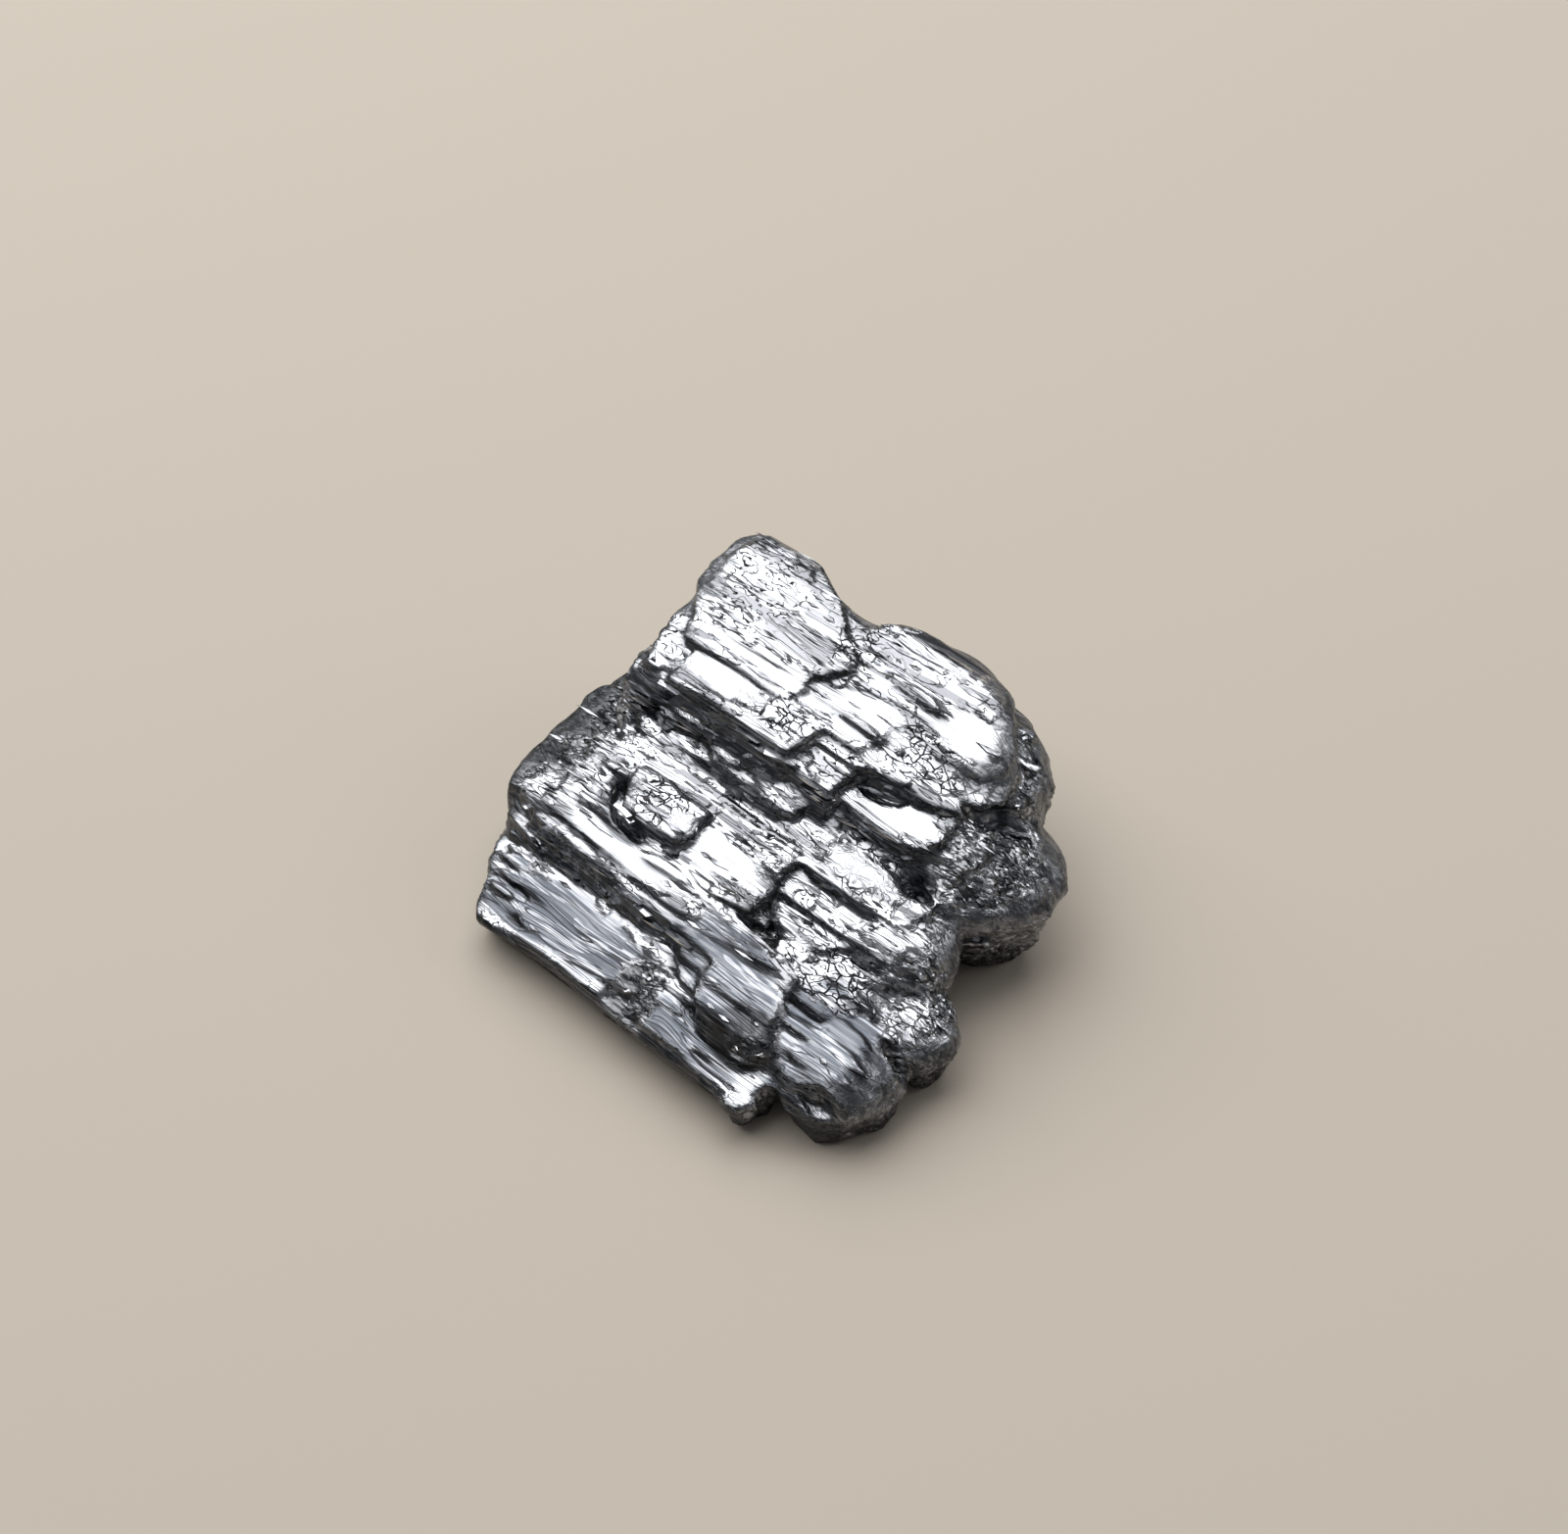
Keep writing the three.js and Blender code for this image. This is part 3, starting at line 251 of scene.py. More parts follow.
def soft_noise(points, seed):
    """Smooth noise from -1 to 1, with lumps about one unit wide."""
    cell = np.floor(points).astype(np.int64)
    part = points - cell
    part = part * part * (3 - 2 * part)
    total = np.zeros(len(points))
    for corner in itertools.product((0, 1), repeat=3):
        weight = np.prod(np.where(corner, part, 1 - part), axis=1)
        total += weight * corner_values(cell + corner, seed)
    return 2 * total - 1


def soft_vectors(points, seeds):
    """One vector of smooth noise for each point."""
    return np.stack([soft_noise(points, seed) for seed in seeds], axis=1)


def cell_noise(points, seed):
    """Distances to the nearest and second nearest of seeds about one unit apart."""
    cell = np.floor(points).astype(np.int64)
    nearest = np.full(len(points), 9.0)
    second = np.full(len(points), 9.0)
    for step in itertools.product((-1, 0, 1), repeat=3):
        corner = cell + step
        offset = np.stack([corner_values(corner, seed + k) for k in range(3)], axis=1)
        away = np.linalg.norm(corner + offset - points, axis=1)
        second = np.minimum(second, np.maximum(nearest, away))
        nearest = np.minimum(nearest, away)
    return nearest, second


def ramp(values, low, high):
    """0 up to low, 1 from high on, and smooth between them."""
    part = np.clip((values - low) / (high - low), 0, 1)
    return part * part * (3 - 2 * part)


# Meshes


def new_piece(name, mesh, *materials):
    piece = bpy.data.objects.new(name, mesh)
    bpy.context.scene.collection.objects.link(piece)
    mesh.materials.clear()
    for material in materials:
        mesh.materials.append(material)
    return piece


def applied(piece):
    """The evaluated piece as a plain mesh, with its modifiers removed."""
    graph = bpy.context.evaluated_depsgraph_get()
    mesh = bpy.data.meshes.new_from_object(piece.evaluated_get(graph))
    piece.modifiers.clear()
    old = piece.data
    piece.data = mesh
    bpy.data.meshes.remove(old)
    return mesh


def vectors_of(mesh, name):
    """The vertices' places ("co") or normals ("normal"), one row each."""
    flat = np.empty(len(mesh.vertices) * 3)
    mesh.vertices.foreach_get(name, flat)
    return flat.reshape(-1, 3)


def set_points(mesh, points):
    mesh.vertices.foreach_set("co", points.ravel())
    mesh.update()


def keep_in_box(mesh):
    """Flattens what would stand out of the solid's box."""
    low, high = (np.array(corner) for corner in CAD_BOX)
    set_points(mesh, np.clip(vectors_of(mesh, "co"), low, high))


def averaged(mesh, values, rounds):
    """Values at the vertices, each replaced by its neighbours' mean in every round."""
    ends = np.empty(len(mesh.edges) * 2, np.int32)
    mesh.edges.foreach_get("vertices", ends)
    first, second = ends.reshape(-1, 2).T
    size = len(values)
    count = np.maximum(np.bincount(ends, minlength=size), 1)
    for _ in range(rounds):
        sums = [
            np.bincount(first, column[second], size) + np.bincount(second, column[first], size)
            for column in values.T
        ]
        values = np.stack([total / count for total in sums], axis=1)
    return values


def fine_copy(voxel):
    """The solid's surface as small faces, in millimetres."""
    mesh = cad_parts[NODE].data.copy()
    shell = bmesh.new()
    shell.from_mesh(mesh)
    bmesh.ops.remove_doubles(shell, verts=shell.verts, dist=1e-6)
    shell.to_mesh(mesh)
    shell.free()
    mesh.transform(Matrix.Diagonal((ALONG / MM, 1 / MM, 1 / MM, 1)))
    piece = new_piece(MASS, mesh)
    remesh = piece.modifiers.new("Fine", "REMESH")
    remesh.mode = "VOXEL"
    remesh.voxel_size = voxel / MM
    fine = applied(piece)
    fine.transform(Matrix.Diagonal((1 / ALONG, 1, 1, 1)))
    shell = bmesh.new()
    shell.from_mesh(fine)
    below = [face for face in shell.faces if max(vert.co.z for vert in face.verts) < FOOT]
    bmesh.ops.dissolve_faces(shell, faces=below, use_verts=True)
    shell.to_mesh(fine)
    shell.free()
    return piece


# Kinds of surface


def zone_share(points, zones):
    """How far each point is inside one of the zones, whose edges waver."""
    wobble = 0.22 * soft_noise(points * 0.9, ZONE_SEED)
    share = np.zeros(len(points))
    for x, y, wide, deep, top in zones:
        away = np.hypot((points[:, 0] - x) / wide, (points[:, 1] - y) / deep) + wobble
        below = ramp(-points[:, 2], -top - 0.4, -top + 0.2)
        share = np.maximum(share, ramp(-away, -1.1, -0.75) * below)
    return share


def rim_share(points, x, y, lowest, width):
    """The outermost points in plan of all that are higher than lowest, as seen from x
    and y."""
    across, up = points[:, 0] - x, points[:, 1] - y
    turn = (np.arctan2(up, across) / (2 * math.pi) + 0.5) * RIM_STEPS
    away = np.hypot(across, up)
    counted = points[:, 2] > lowest
    reach = np.zeros(RIM_STEPS)
    np.maximum.at(reach, turn[counted].astype(int) % RIM_STEPS, away[counted])
    edge = np.interp(turn, np.arange(RIM_STEPS) + 0.5, reach, period=RIM_STEPS)
    wobble = 0.35 * soft_noise(points * 0.8, RIM_SEED)
    share = ramp(away - edge + wobble, -width - 0.4, -0.35 * width)
    return share * ramp(points[:, 2], lowest - 1.2, lowest + 0.2)


def off_front(points, x, y, round_right):
    """0 along the sharp front edge, as seen from x and y, and 1 at the rear and at both
    ends. At the right it starts further to the front."""
    across, up = points[:, 0] - x, points[:, 1] - y
    away = np.maximum(np.hypot(across, up), 1e-6)
    return ramp(up / away + round_right * ramp(across, 0, 4), -0.35, 0.05)


def level_share(broad):
    """1 on faces that look up, 0 on walls."""
    return ramp(broad[:, 2], 0.72, 0.93)


def surface_shares(points, broad, near_edge, broken):
    """Each point's shares, and how far the surface drops towards the rims, in mm."""
    in_ends = zone_share(points, ROUGH_ENDS)
    matte = zone_share(points, MATTE_FLANKS)
    border = np.zeros(len(points))
    drop = np.zeros(len(points))
    for x, y, lowest, width, depth, round_right in RIMS:
        border = np.maximum(border, rim_share(points, x, y, lowest, width + RIM_MARGIN))
        rim = rim_share(points, x, y, lowest, width) * off_front(points, x, y, round_right)
        matte = np.maximum(matte, rim * (0.2 + 0.8 * ramp(broad[:, 2], 0.05, 0.4)))
        drop = np.maximum(drop, depth * rim**2)
    # The right end is less rough in islands of one to two millimetres.
    islands = ramp(soft_noise(points * (0.55, 0.9, 0.9), ISLAND_SEED), -0.1, 0.3)
    islands *= ramp(points[:, 0], 5, 7)
    ends = 0.8 * ramp(np.abs(broad[:, 0]), 0.6, 0.92)
    rough = np.maximum(ends, in_ends * (1 - 0.75 * islands)) * (1 - matte)
    clean = (1 - rough) * (1 - matte)
    level = level_share(broad)
    silky = zone_share(points, SILKY_FACES) * (1 - rough) * (1 - 0.7 * matte) * ramp(broad[:, 2], 0.6, 0.85)
    quiet = zone_share(points, CALM_FACES) * clean
    # Recesses that are painted dark as shade
    recess_shade = zone_share(points, PAINTED_SHADE_RECESSES)
    patchy = ramp(soft_noise(points * (0.35, 0.7, 0.7), CRUMB_SEED), -0.1, 0.5)
    crumbly = np.maximum(np.clip(1.6 * near_edge * patchy, 0, 1), broken)
    crumbly = np.maximum(crumbly, in_ends * islands) * (1 - 0.6 * quiet)
    crumbly *= 1 - recess_shade
    # Painted shade: the sides get darker near the floor, where its shadow falls.
    low = 0.9 * ramp(-points[:, 2], -4, -1) * (1 - ramp(broad[:, 2], 0, 0.4))
    # Walls that face the front, between the front plates and the top crystals
    steep = ramp(-broad[:, 1], 0.55, 0.75) * ramp(points[:, 2], 3.5, 4.5) * ramp(-points[:, 2], -10.8, -10)
    steep *= ramp(points[:, 1], -10.5, -9.5)
    inside = (1 - rough) * (1 - border)
    shares = {
        "rough": rough,
        "silky": silky,
        "quiet": quiet,
        "crumbly": crumbly,
        "matte": matte,
        # Painted shade: walls that don't face up, and the recesses, are painted dark
        "shaded_wall": np.maximum(1 - level, recess_shade) * clean,
        # Darker zones, and painted shade on the sides near the floor
        "dark_zone_and_foot_shade": np.maximum(zone_share(points, DARKER_ZONES), low),
        "grainy": rough * (1 - border) * ramp(broad[:, 2], 0.2, 0.7),
        "plate": level * inside * (1 - 0.8 * np.maximum(quiet, silky)) * (1 - ramp(near_edge, 0.1, 0.4)),
        "ledges": steep * inside * (1 - ramp(near_edge, 0.1, 0.5)),
    }
    return shares, drop


# Relief of the mass


def grown_surface(points, shares, striation, grain):
    """How far each point moves along its normal, in mm: steps and striations along X
    on the faces, cracked crumbs near edges and grains at the rough ends."""
    rough, silky, quiet, crumbly, matte, shaded_wall = (shares[name] for name in LOOKS[:6])
    wavy = points + 0.35 * soft_vectors(points * (0.3, 0.55, 0.55), WAVE_SEEDS)
    steps = np.round(soft_noise(wavy * (0.09, 0.9, 0.9), STEP_SEED) * 2.5) / 2.5
    fine = soft_noise(wavy * (0.12, 2.4, 2.4), FINE_SEED)
    near, far = cell_noise(wavy * (0.75, 1.5, 1.5), CRACK_SEED)
    cracks = -np.exp(-((far - near) / 0.16))
    lumps, next_lumps = cell_noise(wavy * (0.75, 1.9, 1.9), LUMP_SEED)
    fine_lumps, _ = cell_noise(points * (1.6, 3.3, 3.3), GRAIN_SEED)
    grooves = -np.exp(-((next_lumps - lumps) / 0.14))
    grains = 0.75 * grooves + 0.9 - 1.1 * lumps + 0.35 - 0.6 * fine_lumps
    smooth = (1 - rough) * (1 - matte)
    height = smooth * striation * ((1 - 0.9 * quiet) * (1 - 0.8 * silky) * steps)
    height += smooth * striation * (0.08 + 1.1 * shaded_wall) * (1 - 0.7 * silky) * fine
    height += smooth * crumbly * (1 - 0.7 * silky) * 0.12 * cracks
    height += rough * (1 - 0.75 * matte) * grain * grains
    return height


def wandering(points, broken, warp):
    """How far each point moves so that long straight edges waver, in mm. Broken faces
    waver more."""
    drift = soft_vectors(points * (0.16, 0.5, 0.5), DRIFT_SEEDS)
    drift += soft_vectors(points * (0.45, 1.3, 1.3), SMALL_DRIFT_SEEDS) * (0.5, 0.5, 0.12)
    drift *= warp
    drift[:, 2] *= ramp(points[:, 2], 0, 1.5) * 0.5
    drift[:, :2] *= 1 + 1.3 * broken[:, None]
    return drift


def worn_share(points, shares, level, near_edge, broken):
    """How far each point moves to the worn surface: steps on the faces soften in
    places, and the outer rims become round."""
    some = 0.6 + 0.4 * ramp(soft_noise(points * (0.12, 0.8, 0.8), WEAR_SEED), -0.3, 0.3)
    calm = np.maximum(shares["quiet"], shares["silky"])
    on_faces = 0.9 * np.maximum(calm, level * some) * (1 - ramp(near_edge, 0.45, 0.9))
    on_faces *= 1 - 0.6 * shares["crumbly"]
    return np.maximum(np.maximum(shares["matte"], on_faces), 0.8 * broken)


# Materials


def empty_material(name):
    material = bpy.data.materials.new(name)
    material.use_nodes = True
    material.node_tree.nodes.clear()
    return material


def metal(tree, colour, gloss, normal):
    """Ends the tree in a bare metal surface."""
    values = {"Base Color": colour, "Metallic": 1.0, "Roughness": gloss, "Normal": normal}
    surface = add_node(tree, "ShaderNodeBsdfPrincipled", values)
    add_node(tree, "ShaderNodeOutputMaterial", {"Surface": surface.outputs[0]})


def place_in_mm(tree):
    place = add_node(tree, "ShaderNodeTexCoord").outputs["Object"]
    return add_node(tree, "ShaderNodeVectorMath", {0: place, "Scale": 1 / MM}, operation="SCALE").outputs[0]


def stretched(tree, place, share):
    """The place with X shortened, so that a pattern on it is longer along X."""
    return add_node(tree, "ShaderNodeMapping", {"Vector": place, "Scale": (share, 1, 1)}).outputs[0]


def noise(tree, place, scale, detail, roughness=0.5):
    values = {"Vector": place, "Scale": scale, "Detail": detail, "Roughness": roughness}
    return add_node(tree, "ShaderNodeTexNoise", values).outputs["Fac"]


def wavering(tree, place, scale, detail, reach):
    """The place, shifted by noise of at most half of reach in mm."""
    drift = add_node(tree, "ShaderNodeTexNoise", {"Vector": place, "Scale": scale, "Detail": detail})
    centred = vector_node(tree, "SUBTRACT", drift.outputs["Color"], (0.5, 0.5, 0.5))
    return vector_node(tree, "MULTIPLY_ADD", centred, (reach, reach, reach), place)


def cells(tree, place, scale):
    """Cells of a pattern: a random number for each, and the distance from its middle."""
    pattern = add_node(tree, "ShaderNodeTexVoronoi", {"Vector": place, "Scale": scale}).outputs
    tone = add_node(tree, "ShaderNodeSeparateColor", {"Color": pattern["Color"]}).outputs[0]
    return tone, pattern["Distance"]


def cell_borders(tree, place, scale, low, high):
    """1 along the borders of the same cells, 0 inside them."""
    values = {"Vector": place, "Scale": scale}
    away = add_node(tree, "ShaderNodeTexVoronoi", values, feature="DISTANCE_TO_EDGE").outputs["Distance"]
    return to_share(tree, away, low, high, 1.0, 0.0)


def to_share(tree, value, low, high, first=0.0, last=1.0):
    """A value from low to high, turned smoothly to one from first to last."""
    ends = {"Value": value, "From Min": low, "From Max": high, "To Min": first, "To Max": last}
    return add_node(tree, "ShaderNodeMapRange", ends, interpolation_type="SMOOTHSTEP").outputs[0]


def contours(tree, value, count, width):
    """Thin lines where a value from 0 to 1 crosses one of count even levels."""
    away = math_node(tree, "PINGPONG", product(tree, value, float(count)), 0.5)
    return to_share(tree, away, 0.35 * width, width, 1.0, 0.0)


def product(tree, first, second):
    return math_node(tree, "MULTIPLY", first, second)


def plus_share(tree, value, factor, start):
    """start plus factor times the value."""
    return math_node(tree, "MULTIPLY_ADD", value, factor, start)


def mixed(tree, share, first, second):
    return add_node(tree, "ShaderNodeMix", {0: share, 6: first, 7: second}, data_type="RGBA").outputs[2]


def bump(tree, height, strength, depth, normal=None, invert=False):
    """A bump of depth in mm on top of an earlier one."""
    values = {"Height": height, "Strength": strength, "Distance": depth * MM}
    if normal is not None:
        values["Normal"] = normal
    return add_node(tree, "ShaderNodeBump", values, invert=invert).outputs["Normal"]


def andorite_material(name, face_colour):
    """Andorite is a soft grey sulfosalt with a metallic lustre. Its smooth faces are
    mirrors that flash white, its striations and cracks are thin dark lines, and the
    granular ends stay a dark, matte grey with a few sparkles. The step walls are matte
    and painted dark grey as shade, and the recesses and the sides near the floor get
    painted shade as well."""
    face = (*face_colour, 1)
    strip_grey, silk, seam_and_shade, hairline_grey, shaded_wall_grey, shaded_wall_line, grain_dark, flank, flank_light = (
        linear(colour) + [1]
        for colour in (
            STRIP_GREY, SILK, SEAM_AND_SHADE, HAIRLINE_GREY, SHADED_WALL_GREY, SHADED_WALL_LINE, GRAIN_DARK, FLANK, FLANK_LIGHT
        )
    )
    material = empty_material(name)
    tree = material.node_tree
    rough, silky, quiet, crumbly, matte, shaded_wall, dark_zone_and_foot_shade = (
        add_node(tree, "ShaderNodeAttribute", attribute_name=key).outputs["Fac"] for key in LOOKS
    )
    in_mm = place_in_mm(tree)
    # Short lines waver by about half a millimetre, and the long striations bend slowly
    wavy = wavering(tree, in_mm, 0.6, 2.0, 1.1)
    gentle = wavering(tree, in_mm, 0.16, 1.0, 0.9)
    # Striations: long hairlines along X, three or four to the millimetre, crowded in
    # some bands and hardly there in others
    long_way = stretched(tree, gentle, HAIR_STRETCH)
    hair = noise(tree, long_way, HAIRS, 0.4)
    band = to_share(tree, noise(tree, long_way, BANDS, 1.0), 0.38, 0.54)
    band = product(tree, band, plus_share(tree, quiet, -0.75, 1.0))
    hairline = product(tree, contours(tree, hair, 9, 0.15), band)
    # Each narrow crystal, 0.6 mm wide and 5 to 8 mm long, has its own tone
    strip_random, _ = cells(tree, stretched(tree, gentle, STRIP_STRETCH), STRIPS)
    strip_tone = to_share(tree, strip_random, 0.2, 1.0, 0.0, 0.85)
    strip_tone = product(tree, strip_tone, plus_share(tree, quiet, -0.7, 1.0))
    # Growth steps: thin lines that wander round low terraces of 0.3 to 1 mm
    terraces = noise(tree, stretched(tree, wavy, GRAIN_STRETCH), TERRACES, 2.0)
    step_line = contours(tree, terraces, 7, 0.1)
    # Silk: much finer striations, six to the millimetre, a little lighter and darker
    silk_lines = noise(tree, long_way, SILK_LINES, 2.0, 0.6)
    # Striations or growth steps, in patches of about two millimetres
    patches = noise(tree, in_mm, PATCHES, 1.5)
    calm = math_node(tree, "MAXIMUM", quiet, product(tree, silky, 0.9))
    stepped = product(tree, to_share(tree, patches, 0.46, 0.58), math_node(tree, "SUBTRACT", 1.0, calm))
    step_share = math_node(tree, "MAXIMUM", stepped, crumbly)
    hair_share = math_node(tree, "SUBTRACT", 1.0, step_share)
    # Crackle: closed cells of 0.4 to 0.8 mm where the surface is broken up
    cell_place = stretched(tree, wavy, CELL_STRETCH)
    crackle = product(tree, cell_borders(tree, cell_place, CRACKLE_CELLS, 0.02, 0.07), crumbly)
    lines = math_node(
        tree, "MAXIMUM", product(tree, hairline, hair_share), product(tree, step_line, step_share)
    )
    lines = math_node(tree, "MAXIMUM", lines, crackle)
    # Grain of the rough ends: crystals of about 0.4 mm, each lighter or darker, with
    # dark gaps between them, and much finer ones in some patches
    grain_place = stretched(tree, wavy, GRAIN_STRETCH)
    is_fine = math_node(tree, "GREATER_THAN", noise(tree, grain_place, FINE_PATCHES, 2.0), 0.52)
    grain_scale = plus_share(tree, is_fine, MORE_FINE_GRAINS, GRAINS)
    grain_tone, grain_middle = cells(tree, grain_place, grain_scale)
    gap = cell_borders(tree, grain_place, grain_scale, 0.01, 0.1)
    gap = product(tree, gap, to_share(tree, patches, 0.4, 0.6, 0.25, 1.0))
    grain_light = math_node(tree, "POWER", grain_tone, 1.1)
    grain_colour = mixed(tree, gap, mixed(tree, grain_light, grain_dark, face), seam_and_shade)
    # Faces: the tone of their narrow crystals or silk, and the lines on it
    silk_share = product(tree, silky, to_share(tree, silk_lines, 0.34, 0.62, 0.3, 1.0))
    plain_colour = mixed(tree, silk_share, mixed(tree, strip_tone, face, strip_grey), silk)
    plate_colour = mixed(tree, lines, plain_colour, mixed(tree, step_share, hairline_grey, seam_and_shade))
    # Painted shade: walls that don't face up, and the recesses, are dark grey with lighter striation lines
    shaded_wall_colour = mixed(tree, to_share(tree, silk_lines, 0.48, 0.64), shaded_wall_grey, shaded_wall_line)
    colour = mixed(tree, product(tree, shaded_wall, 0.85), plate_colour, shaded_wall_colour)
    colour = mixed(tree, rough, colour, grain_colour)
    # Matte rims: worn smooth, with faint mottling below half a millimetre
    mottle = noise(tree, cell_place, MOTTLES, 3.0, 0.6)
    flank_colour = mixed(tree, to_share(tree, mottle, 0.42, 0.66), flank, flank_light)
    colour = mixed(tree, product(tree, matte, 0.9), colour, flank_colour)
    # Some zones are painted nearly black, and so are the sides near the floor as painted shade
    colour = mixed(tree, product(tree, dark_zone_and_foot_shade, 0.6), colour, seam_and_shade)
    # Gloss: clean faces are nearly mirrors, dark lines and grains scatter
    gloss = plus_share(tree, noise(tree, long_way, SMEARS, 3.0), 0.16, 0.1)
    dimming = ((rough, 0.14), (silky, 0.12), (matte, 0.22), (shaded_wall, 0.12), (dark_zone_and_foot_shade, 0.1), (lines, 0.25))
    for share, more in dimming:
        gloss = plus_share(tree, share, more, gloss)
    # Relief below what the mesh carries
    normal = bump(tree, product(tree, hair, band), 0.4, 0.1)
    normal = bump(tree, product(tree, terraces, step_share), 0.7, 0.35, normal)
    normal = bump(tree, silk_lines, 0.5, 0.03, normal)
    normal = bump(tree, lines, 0.7, 0.04, normal, invert=True)
    normal = bump(tree, product(tree, grain_middle, rough), 1.0, 0.12, normal, invert=True)
    normal = bump(tree, product(tree, mottle, matte), 0.6, 0.12, normal)
    metal(tree, colour, gloss, normal)
    return material


def chip_material(name, light, dark, streak_scale):
    """Andorite of the small crystals: the same metal, streaked along X, so that some
    flash and others stay dark."""
    material = empty_material(name)
    tree = material.node_tree
    streaks = noise(tree, stretched(tree, place_in_mm(tree), CHIP_STRETCH), streak_scale, 3.0)
    ends = {"Value": streaks, "From Min": 0.4, "From Max": 0.62}
    share = add_node(tree, "ShaderNodeMapRange", ends).outputs[0]
    colour = mixed(tree, share, linear(light) + [1], linear(dark) + [1])
    metal(tree, colour, plus_share(tree, share, 0.2, 0.16), bump(tree, streaks, 0.6, 0.06))
    return material


# Small crystals strewn over the mass


def strewing_tree(name, mask):
    """Geometry Nodes: stubby crystals on the faces, as dense as the named mask says,
    their long way along X and their base just below the surface."""
    tree = bpy.data.node_groups.new(name, "GeometryNodeTree")
    face = tree.interface
    face.new_socket("Geometry", in_out="INPUT", socket_type="NodeSocketGeometry")
    for label in ("Density", "Point"):
        face.new_socket(label, in_out="INPUT", socket_type="NodeSocketFloat")
    for label in ("Smallest", "Largest", "Tilt"):
        face.new_socket(label, in_out="INPUT", socket_type="NodeSocketVector")
    face.new_socket("Seed", in_out="INPUT", socket_type="NodeSocketInt")
    face.new_socket("Material", in_out="INPUT", socket_type="NodeSocketMaterial")
    face.new_socket("Geometry", in_out="OUTPUT", socket_type="NodeSocketGeometry")
    given = add_node(tree, "NodeGroupInput").outputs
    share = add_node(tree, "GeometryNodeInputNamedAttribute", {"Name": mask}, data_type="FLOAT").outputs[0]
    spread = add_node(
        tree,
        "GeometryNodeDistributePointsOnFaces",
        {"Mesh": given["Geometry"], "Density": product(tree, share, given["Density"]), "Seed": given["Seed"]},
        distribute_method="RANDOM",
    )
    upright = add_node(
        tree,
        "FunctionNodeAxesToRotation",
        {"Primary Axis": spread.outputs["Normal"], "Secondary Axis": (1, 0, 0)},
        primary_axis="Z",
        secondary_axis="X",
    ).outputs[0]
    other_way = vector_node(tree, "MULTIPLY", given["Tilt"], (-1, -1, -1))
    tipped = add_node(
        tree,
        "FunctionNodeRandomValue",
        {0: other_way, 1: given["Tilt"], "Seed": given["Seed"]},
        data_type="FLOAT_VECTOR",
    ).outputs[0]
    turned = add_node(
        tree,
        "FunctionNodeRotateRotation",
        {"Rotation": upright, "Rotate By": tipped},
        rotation_space="LOCAL",
    ).outputs[0]
    other_seed = math_node(tree, "ADD", given["Seed"], SIZE_SEED_STEP)
    size = add_node(
        tree,
        "FunctionNodeRandomValue",
        {0: given["Smallest"], 1: given["Largest"], "Seed": other_seed},
        data_type="FLOAT_VECTOR",
    ).outputs[0]
    crystal = add_node(
        tree,
        "GeometryNodeMeshCone",
        {"Vertices": CHIP_SIDES, "Radius Top": given["Point"], "Radius Bottom": 0.5, "Depth": 1.0},
    ).outputs["Mesh"]
    sunk = add_node(
        tree, "GeometryNodeTransform", {"Geometry": crystal, "Translation": (0, 0, -CHIP_SINK)}
    ).outputs[0]
    placed = add_node(
        tree,
        "GeometryNodeInstanceOnPoints",
        {"Points": spread.outputs["Points"], "Instance": sunk, "Rotation": turned, "Scale": size},
    ).outputs[0]
    real = add_node(tree, "GeometryNodeRealizeInstances", {"Geometry": placed}).outputs[0]
    dressed = add_node(
        tree, "GeometryNodeSetMaterial", {"Geometry": real, "Material": given["Material"]}
    ).outputs[0]
    add_node(tree, "NodeGroupOutput", {"Geometry": dressed})
    return tree


def strew(name, mask, material, **values):
    """A piece of small crystals over the mass, as a plain mesh."""
    ground = bpy.data.objects[MASS]
    piece = new_piece(name, ground.data.copy(), material)
    modifier = piece.modifiers.new("Strewn", "NODES")
    tree = strewing_tree(name, mask)
    modifier.node_group = tree
    values["Material"] = material
    for item in tree.interface.items_tree:
        if item.in_out == "INPUT" and item.name in values:
            modifier[item.identifier] = values[item.name]
    mesh = applied(piece)
    for share in (*LOOKS, *MASKS):
        if share in mesh.attributes:
            mesh.attributes.remove(mesh.attributes[share])
    mesh.materials.clear()
    mesh.materials.append(material)
    mesh.shade_flat()
    keep_in_box(mesh)
    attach(piece, "root")


class AndoriteSettings(bpy.types.PropertyGroup):
    face_size: FloatProperty(
        name="Face Size",
        description="Width of the small faces that the mass is made of",
        default=0.128 * MM,
        unit="LENGTH",
        precision=6,
    )
    striation: FloatProperty(
        name="Striation Depth",
        description="Height of the steps and striations on the crystal faces",
        default=0.04 * MM,
        unit="LENGTH",
        precision=6,
    )
    grain: FloatProperty(
        name="Grain Height",
        description="Height of the grains on the rough ends",
        default=0.16 * MM,
        unit="LENGTH",
        precision=6,
    )
    warp: FloatProperty(
        name="Warp",
        description="How far long straight edges waver",
        default=0.22 * MM,
        unit="LENGTH",
        precision=6,
    )
    seed: IntProperty(name="Seed", description="Picks another strewing of small crystals", default=4)
    face_colour: FloatVectorProperty(
        name="Face",
        description="Colour of the clean metallic faces",
        subtype="COLOR",
        size=3,
        default=linear("#cbcdd1"),
    )
    floor_colour: FloatVectorProperty(
        name="Floor",
        description="Colour of the floor",
        subtype="COLOR",
        size=3,
        default=linear("#b3aa9d"),
    )
    key_power: FloatProperty(
        name="Key Light",
        description="Power of the large soft light",
        default=5.2,
        unit="POWER",
    )


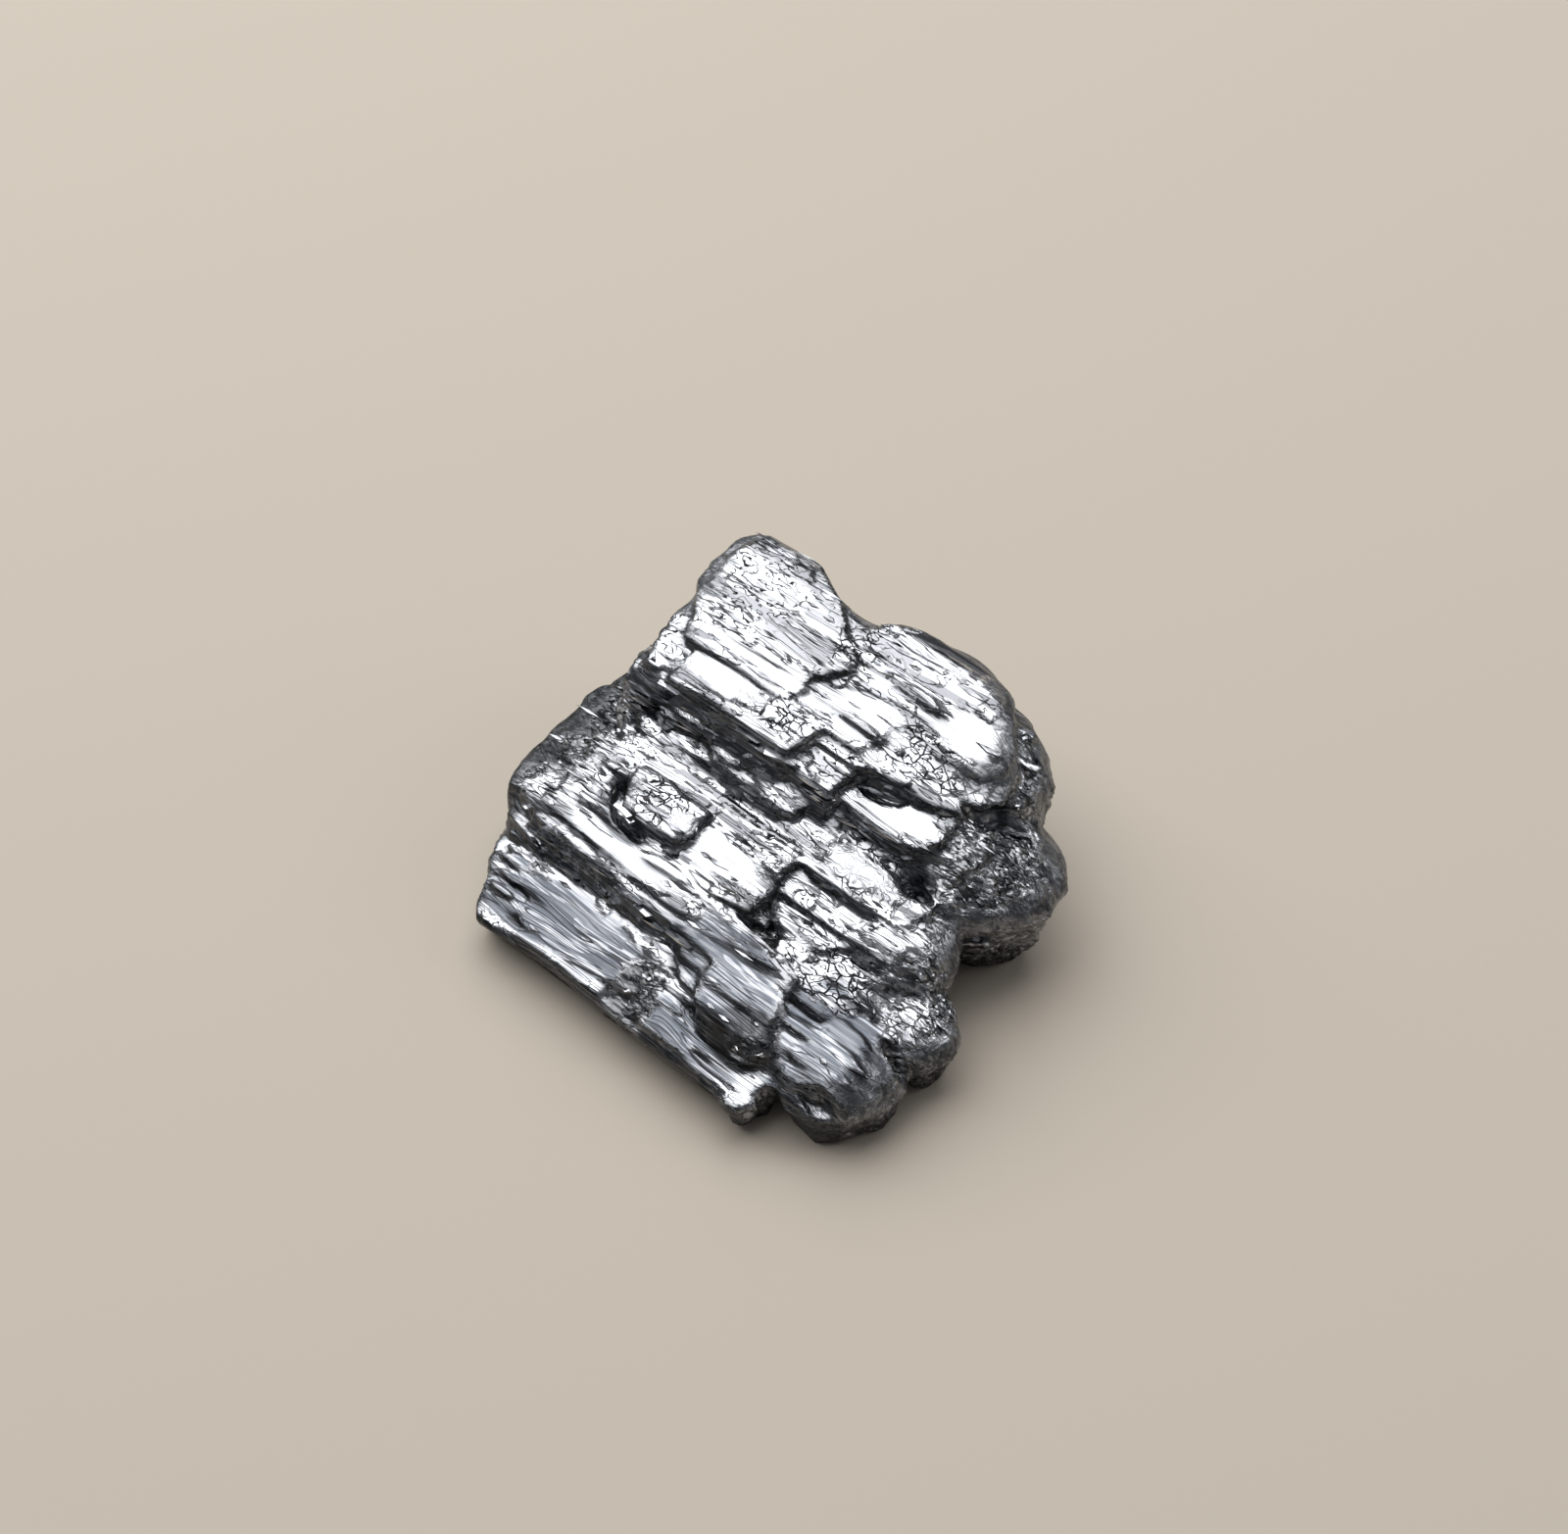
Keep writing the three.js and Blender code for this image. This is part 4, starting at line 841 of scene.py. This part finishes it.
class ANDORITE_OT_mass(bpy.types.Operator):
    """Intergrown striated crystals, the whole surface of the specimen"""

    bl_idname = "andorite.mass"
    bl_label = "Crystal Mass"

    def execute(self, context):
        settings = context.scene.andorite
        piece = fine_copy(settings.face_size)
        mesh = piece.data
        points = vectors_of(mesh, "co")
        normals = vectors_of(mesh, "normal")
        broad = averaged(mesh, normals, BROAD_ROUNDS)
        broad /= np.maximum(np.linalg.norm(broad, axis=1, keepdims=True), 1e-6)
        edge = ramp(np.linalg.norm(normals - broad, axis=1), 0.12, 0.45)
        near_edge = averaged(mesh, edge.reshape(-1, 1), EDGE_ROUNDS)[:, 0]
        broken = zone_share(points, CRACKLED_FACES)
        shares, drop = surface_shares(points, broad, near_edge, broken)
        height = grown_surface(points, shares, settings.striation / MM, settings.grain / MM)
        height *= ramp(points[:, 2], FOOT, 0.4)
        soft = averaged(mesh, points, SOFT_ROUNDS)
        worn = worn_share(points, shares, level_share(broad), near_edge, broken)[:, None]
        drift = wandering(points, broken, settings.warp / MM)
        moved = points + (soft - points) * worn + drift + broad * height[:, None]
        moved[:, 2] -= drop
        moved[:, 2] = np.where(points[:, 2] < FOOT, points[:, 2], moved[:, 2])
        set_points(mesh, moved * MM)
        keep_in_box(mesh)
        for name, values in shares.items():
            mesh.attributes.new(name, "FLOAT", "POINT").data.foreach_set("value", values)
        mesh.shade_smooth()
        mesh.materials.append(andorite_material("silvery_andorite", settings.face_colour))
        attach(piece, "root")
        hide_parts(NODE)
        return {"FINISHED"}


class ANDORITE_OT_grains(bpy.types.Operator):
    """Small blocky crystals on the rough, rounded ends"""

    bl_idname = "andorite.grains"
    bl_label = "Grains"

    def execute(self, context):
        strew(
            "andorite_grains",
            "grainy",
            chip_material("granular_andorite", "#a6a8ac", "#4c4d50", 2.6),
            Density=5.0e6,
            Point=0.3,
            Smallest=(0.3 * MM, 0.12 * MM, 0.06 * MM),
            Largest=(0.9 * MM, 0.32 * MM, 0.2 * MM),
            Tilt=(0.35, 0.2, 0.3),
            Seed=context.scene.andorite.seed,
        )
        return {"FINISHED"}


class ANDORITE_OT_blades(bpy.types.Operator):
    """Long thin crystals that lie along the striations of the plates"""

    bl_idname = "andorite.blades"
    bl_label = "Blades"

    def execute(self, context):
        strew(
            "andorite_blades",
            "plate",
            chip_material("bladed_andorite", "#b4b6bb", "#303033", 1.8),
            Density=1.2e6,
            Point=0.36,
            Smallest=(0.6 * MM, 0.12 * MM, 0.05 * MM),
            Largest=(2.8 * MM, 0.45 * MM, 0.14 * MM),
            Tilt=(0.12, 0.02, 0.04),
            Seed=context.scene.andorite.seed + 1,
        )
        return {"FINISHED"}


class ANDORITE_OT_ledges(bpy.types.Operator):
    """Thin ledges along the dark step walls, whose upper sides catch the light"""

    bl_idname = "andorite.ledges"
    bl_label = "Wall Ledges"

    def execute(self, context):
        strew(
            "andorite_ledges",
            "ledges",
            chip_material("ledge_andorite", "#c2c4c8", "#6a6b6f", 1.8),
            Density=0.9e6,
            Point=0.42,
            Smallest=(0.5 * MM, 0.12 * MM, 0.25 * MM),
            Largest=(2.6 * MM, 0.26 * MM, 0.6 * MM),
            Tilt=(0.1, 0.02, 0.06),
            Seed=context.scene.andorite.seed + 2,
        )
        return {"FINISHED"}


def soft_light(name, direction, size, power):
    """A square light that looks at the specimen from the given direction."""
    light = bpy.data.lights.new(name, "AREA")
    light.size = size
    light.energy = power
    lamp = bpy.data.objects.new(name, light)
    bpy.context.scene.collection.objects.link(lamp)
    lamp.location = Vector(direction).normalized() * LIGHT_DISTANCE
    lamp.rotation_euler = Vector(direction).to_track_quat("Z", "Y").to_euler()


class ANDORITE_OT_stage(bpy.types.Operator):
    """Pale floor, soft studio lights and the camera"""

    bl_idname = "andorite.stage"
    bl_label = "Stage"

    def execute(self, context):
        settings = context.scene.andorite
        scene = context.scene
        corners = [(x * FLOOR_HALF, y * FLOOR_HALF, 0) for x, y in ((-1, -1), (1, -1), (1, 1), (-1, 1))]
        mesh = bpy.data.meshes.new("floor")
        mesh.from_pydata(corners, [], [(0, 1, 2, 3)])
        material = bpy.data.materials.new("matte_paper")
        material.use_nodes = True
        surface = material.node_tree.nodes["Principled BSDF"]
        surface.inputs["Base Color"].default_value = (*settings.floor_colour, 1)
        surface.inputs["Roughness"].default_value = 0.8
        new_piece("floor", mesh, material)
        soft_light("key_light", KEY_DIRECTION, KEY_SIZE, settings.key_power)
        soft_light("rear_light", REAR_DIRECTION, REAR_SIZE, REAR_POWER)
        world = bpy.data.worlds.new("studio")
        world.use_nodes = True
        world.node_tree.nodes["Background"].inputs["Color"].default_value = SKY
        scene.world = world
        scene.view_settings.view_transform = "Standard"
        camera = bpy.data.cameras.new("camera")
        camera.sensor_width = SENSOR_WIDTH
        camera.lens = FOCAL_LENGTH
        camera.clip_start = MM
        stand = bpy.data.objects.new("camera", camera)
        stand.matrix_world = CAMERA_PLACE
        scene.collection.objects.link(stand)
        scene.camera = stand
        return {"FINISHED"}


class ANDORITE_PT_panel(bpy.types.Panel):
    bl_label = "Andorite Specimen"
    bl_idname = "ANDORITE_PT_panel"
    bl_space_type = "VIEW_3D"
    bl_region_type = "UI"
    bl_category = "Andorite"

    def draw(self, context):
        settings = context.scene.andorite
        for name in settings.bl_rna.properties.keys():
            if name not in ("rna_type", "name"):
                self.layout.prop(settings, name)
        for operator in OPERATORS:
            self.layout.operator(operator.bl_idname)


OPERATORS = (
    ANDORITE_OT_mass, ANDORITE_OT_grains, ANDORITE_OT_blades, ANDORITE_OT_ledges, ANDORITE_OT_stage
)
CLASSES = (AndoriteSettings, *OPERATORS, ANDORITE_PT_panel)


def register():
    for cls in CLASSES:
        bpy.utils.register_class(cls)
    bpy.types.Scene.andorite = PointerProperty(type=AndoriteSettings)


def unregister():
    del bpy.types.Scene.andorite
    for cls in reversed(CLASSES):
        bpy.utils.unregister_class(cls)


def main():
    register()
    bpy.ops.andorite.mass()
    bpy.ops.andorite.grains()
    bpy.ops.andorite.blades()
    bpy.ops.andorite.ledges()
    bpy.ops.andorite.stage()


if __name__ == "__main__":
    main()
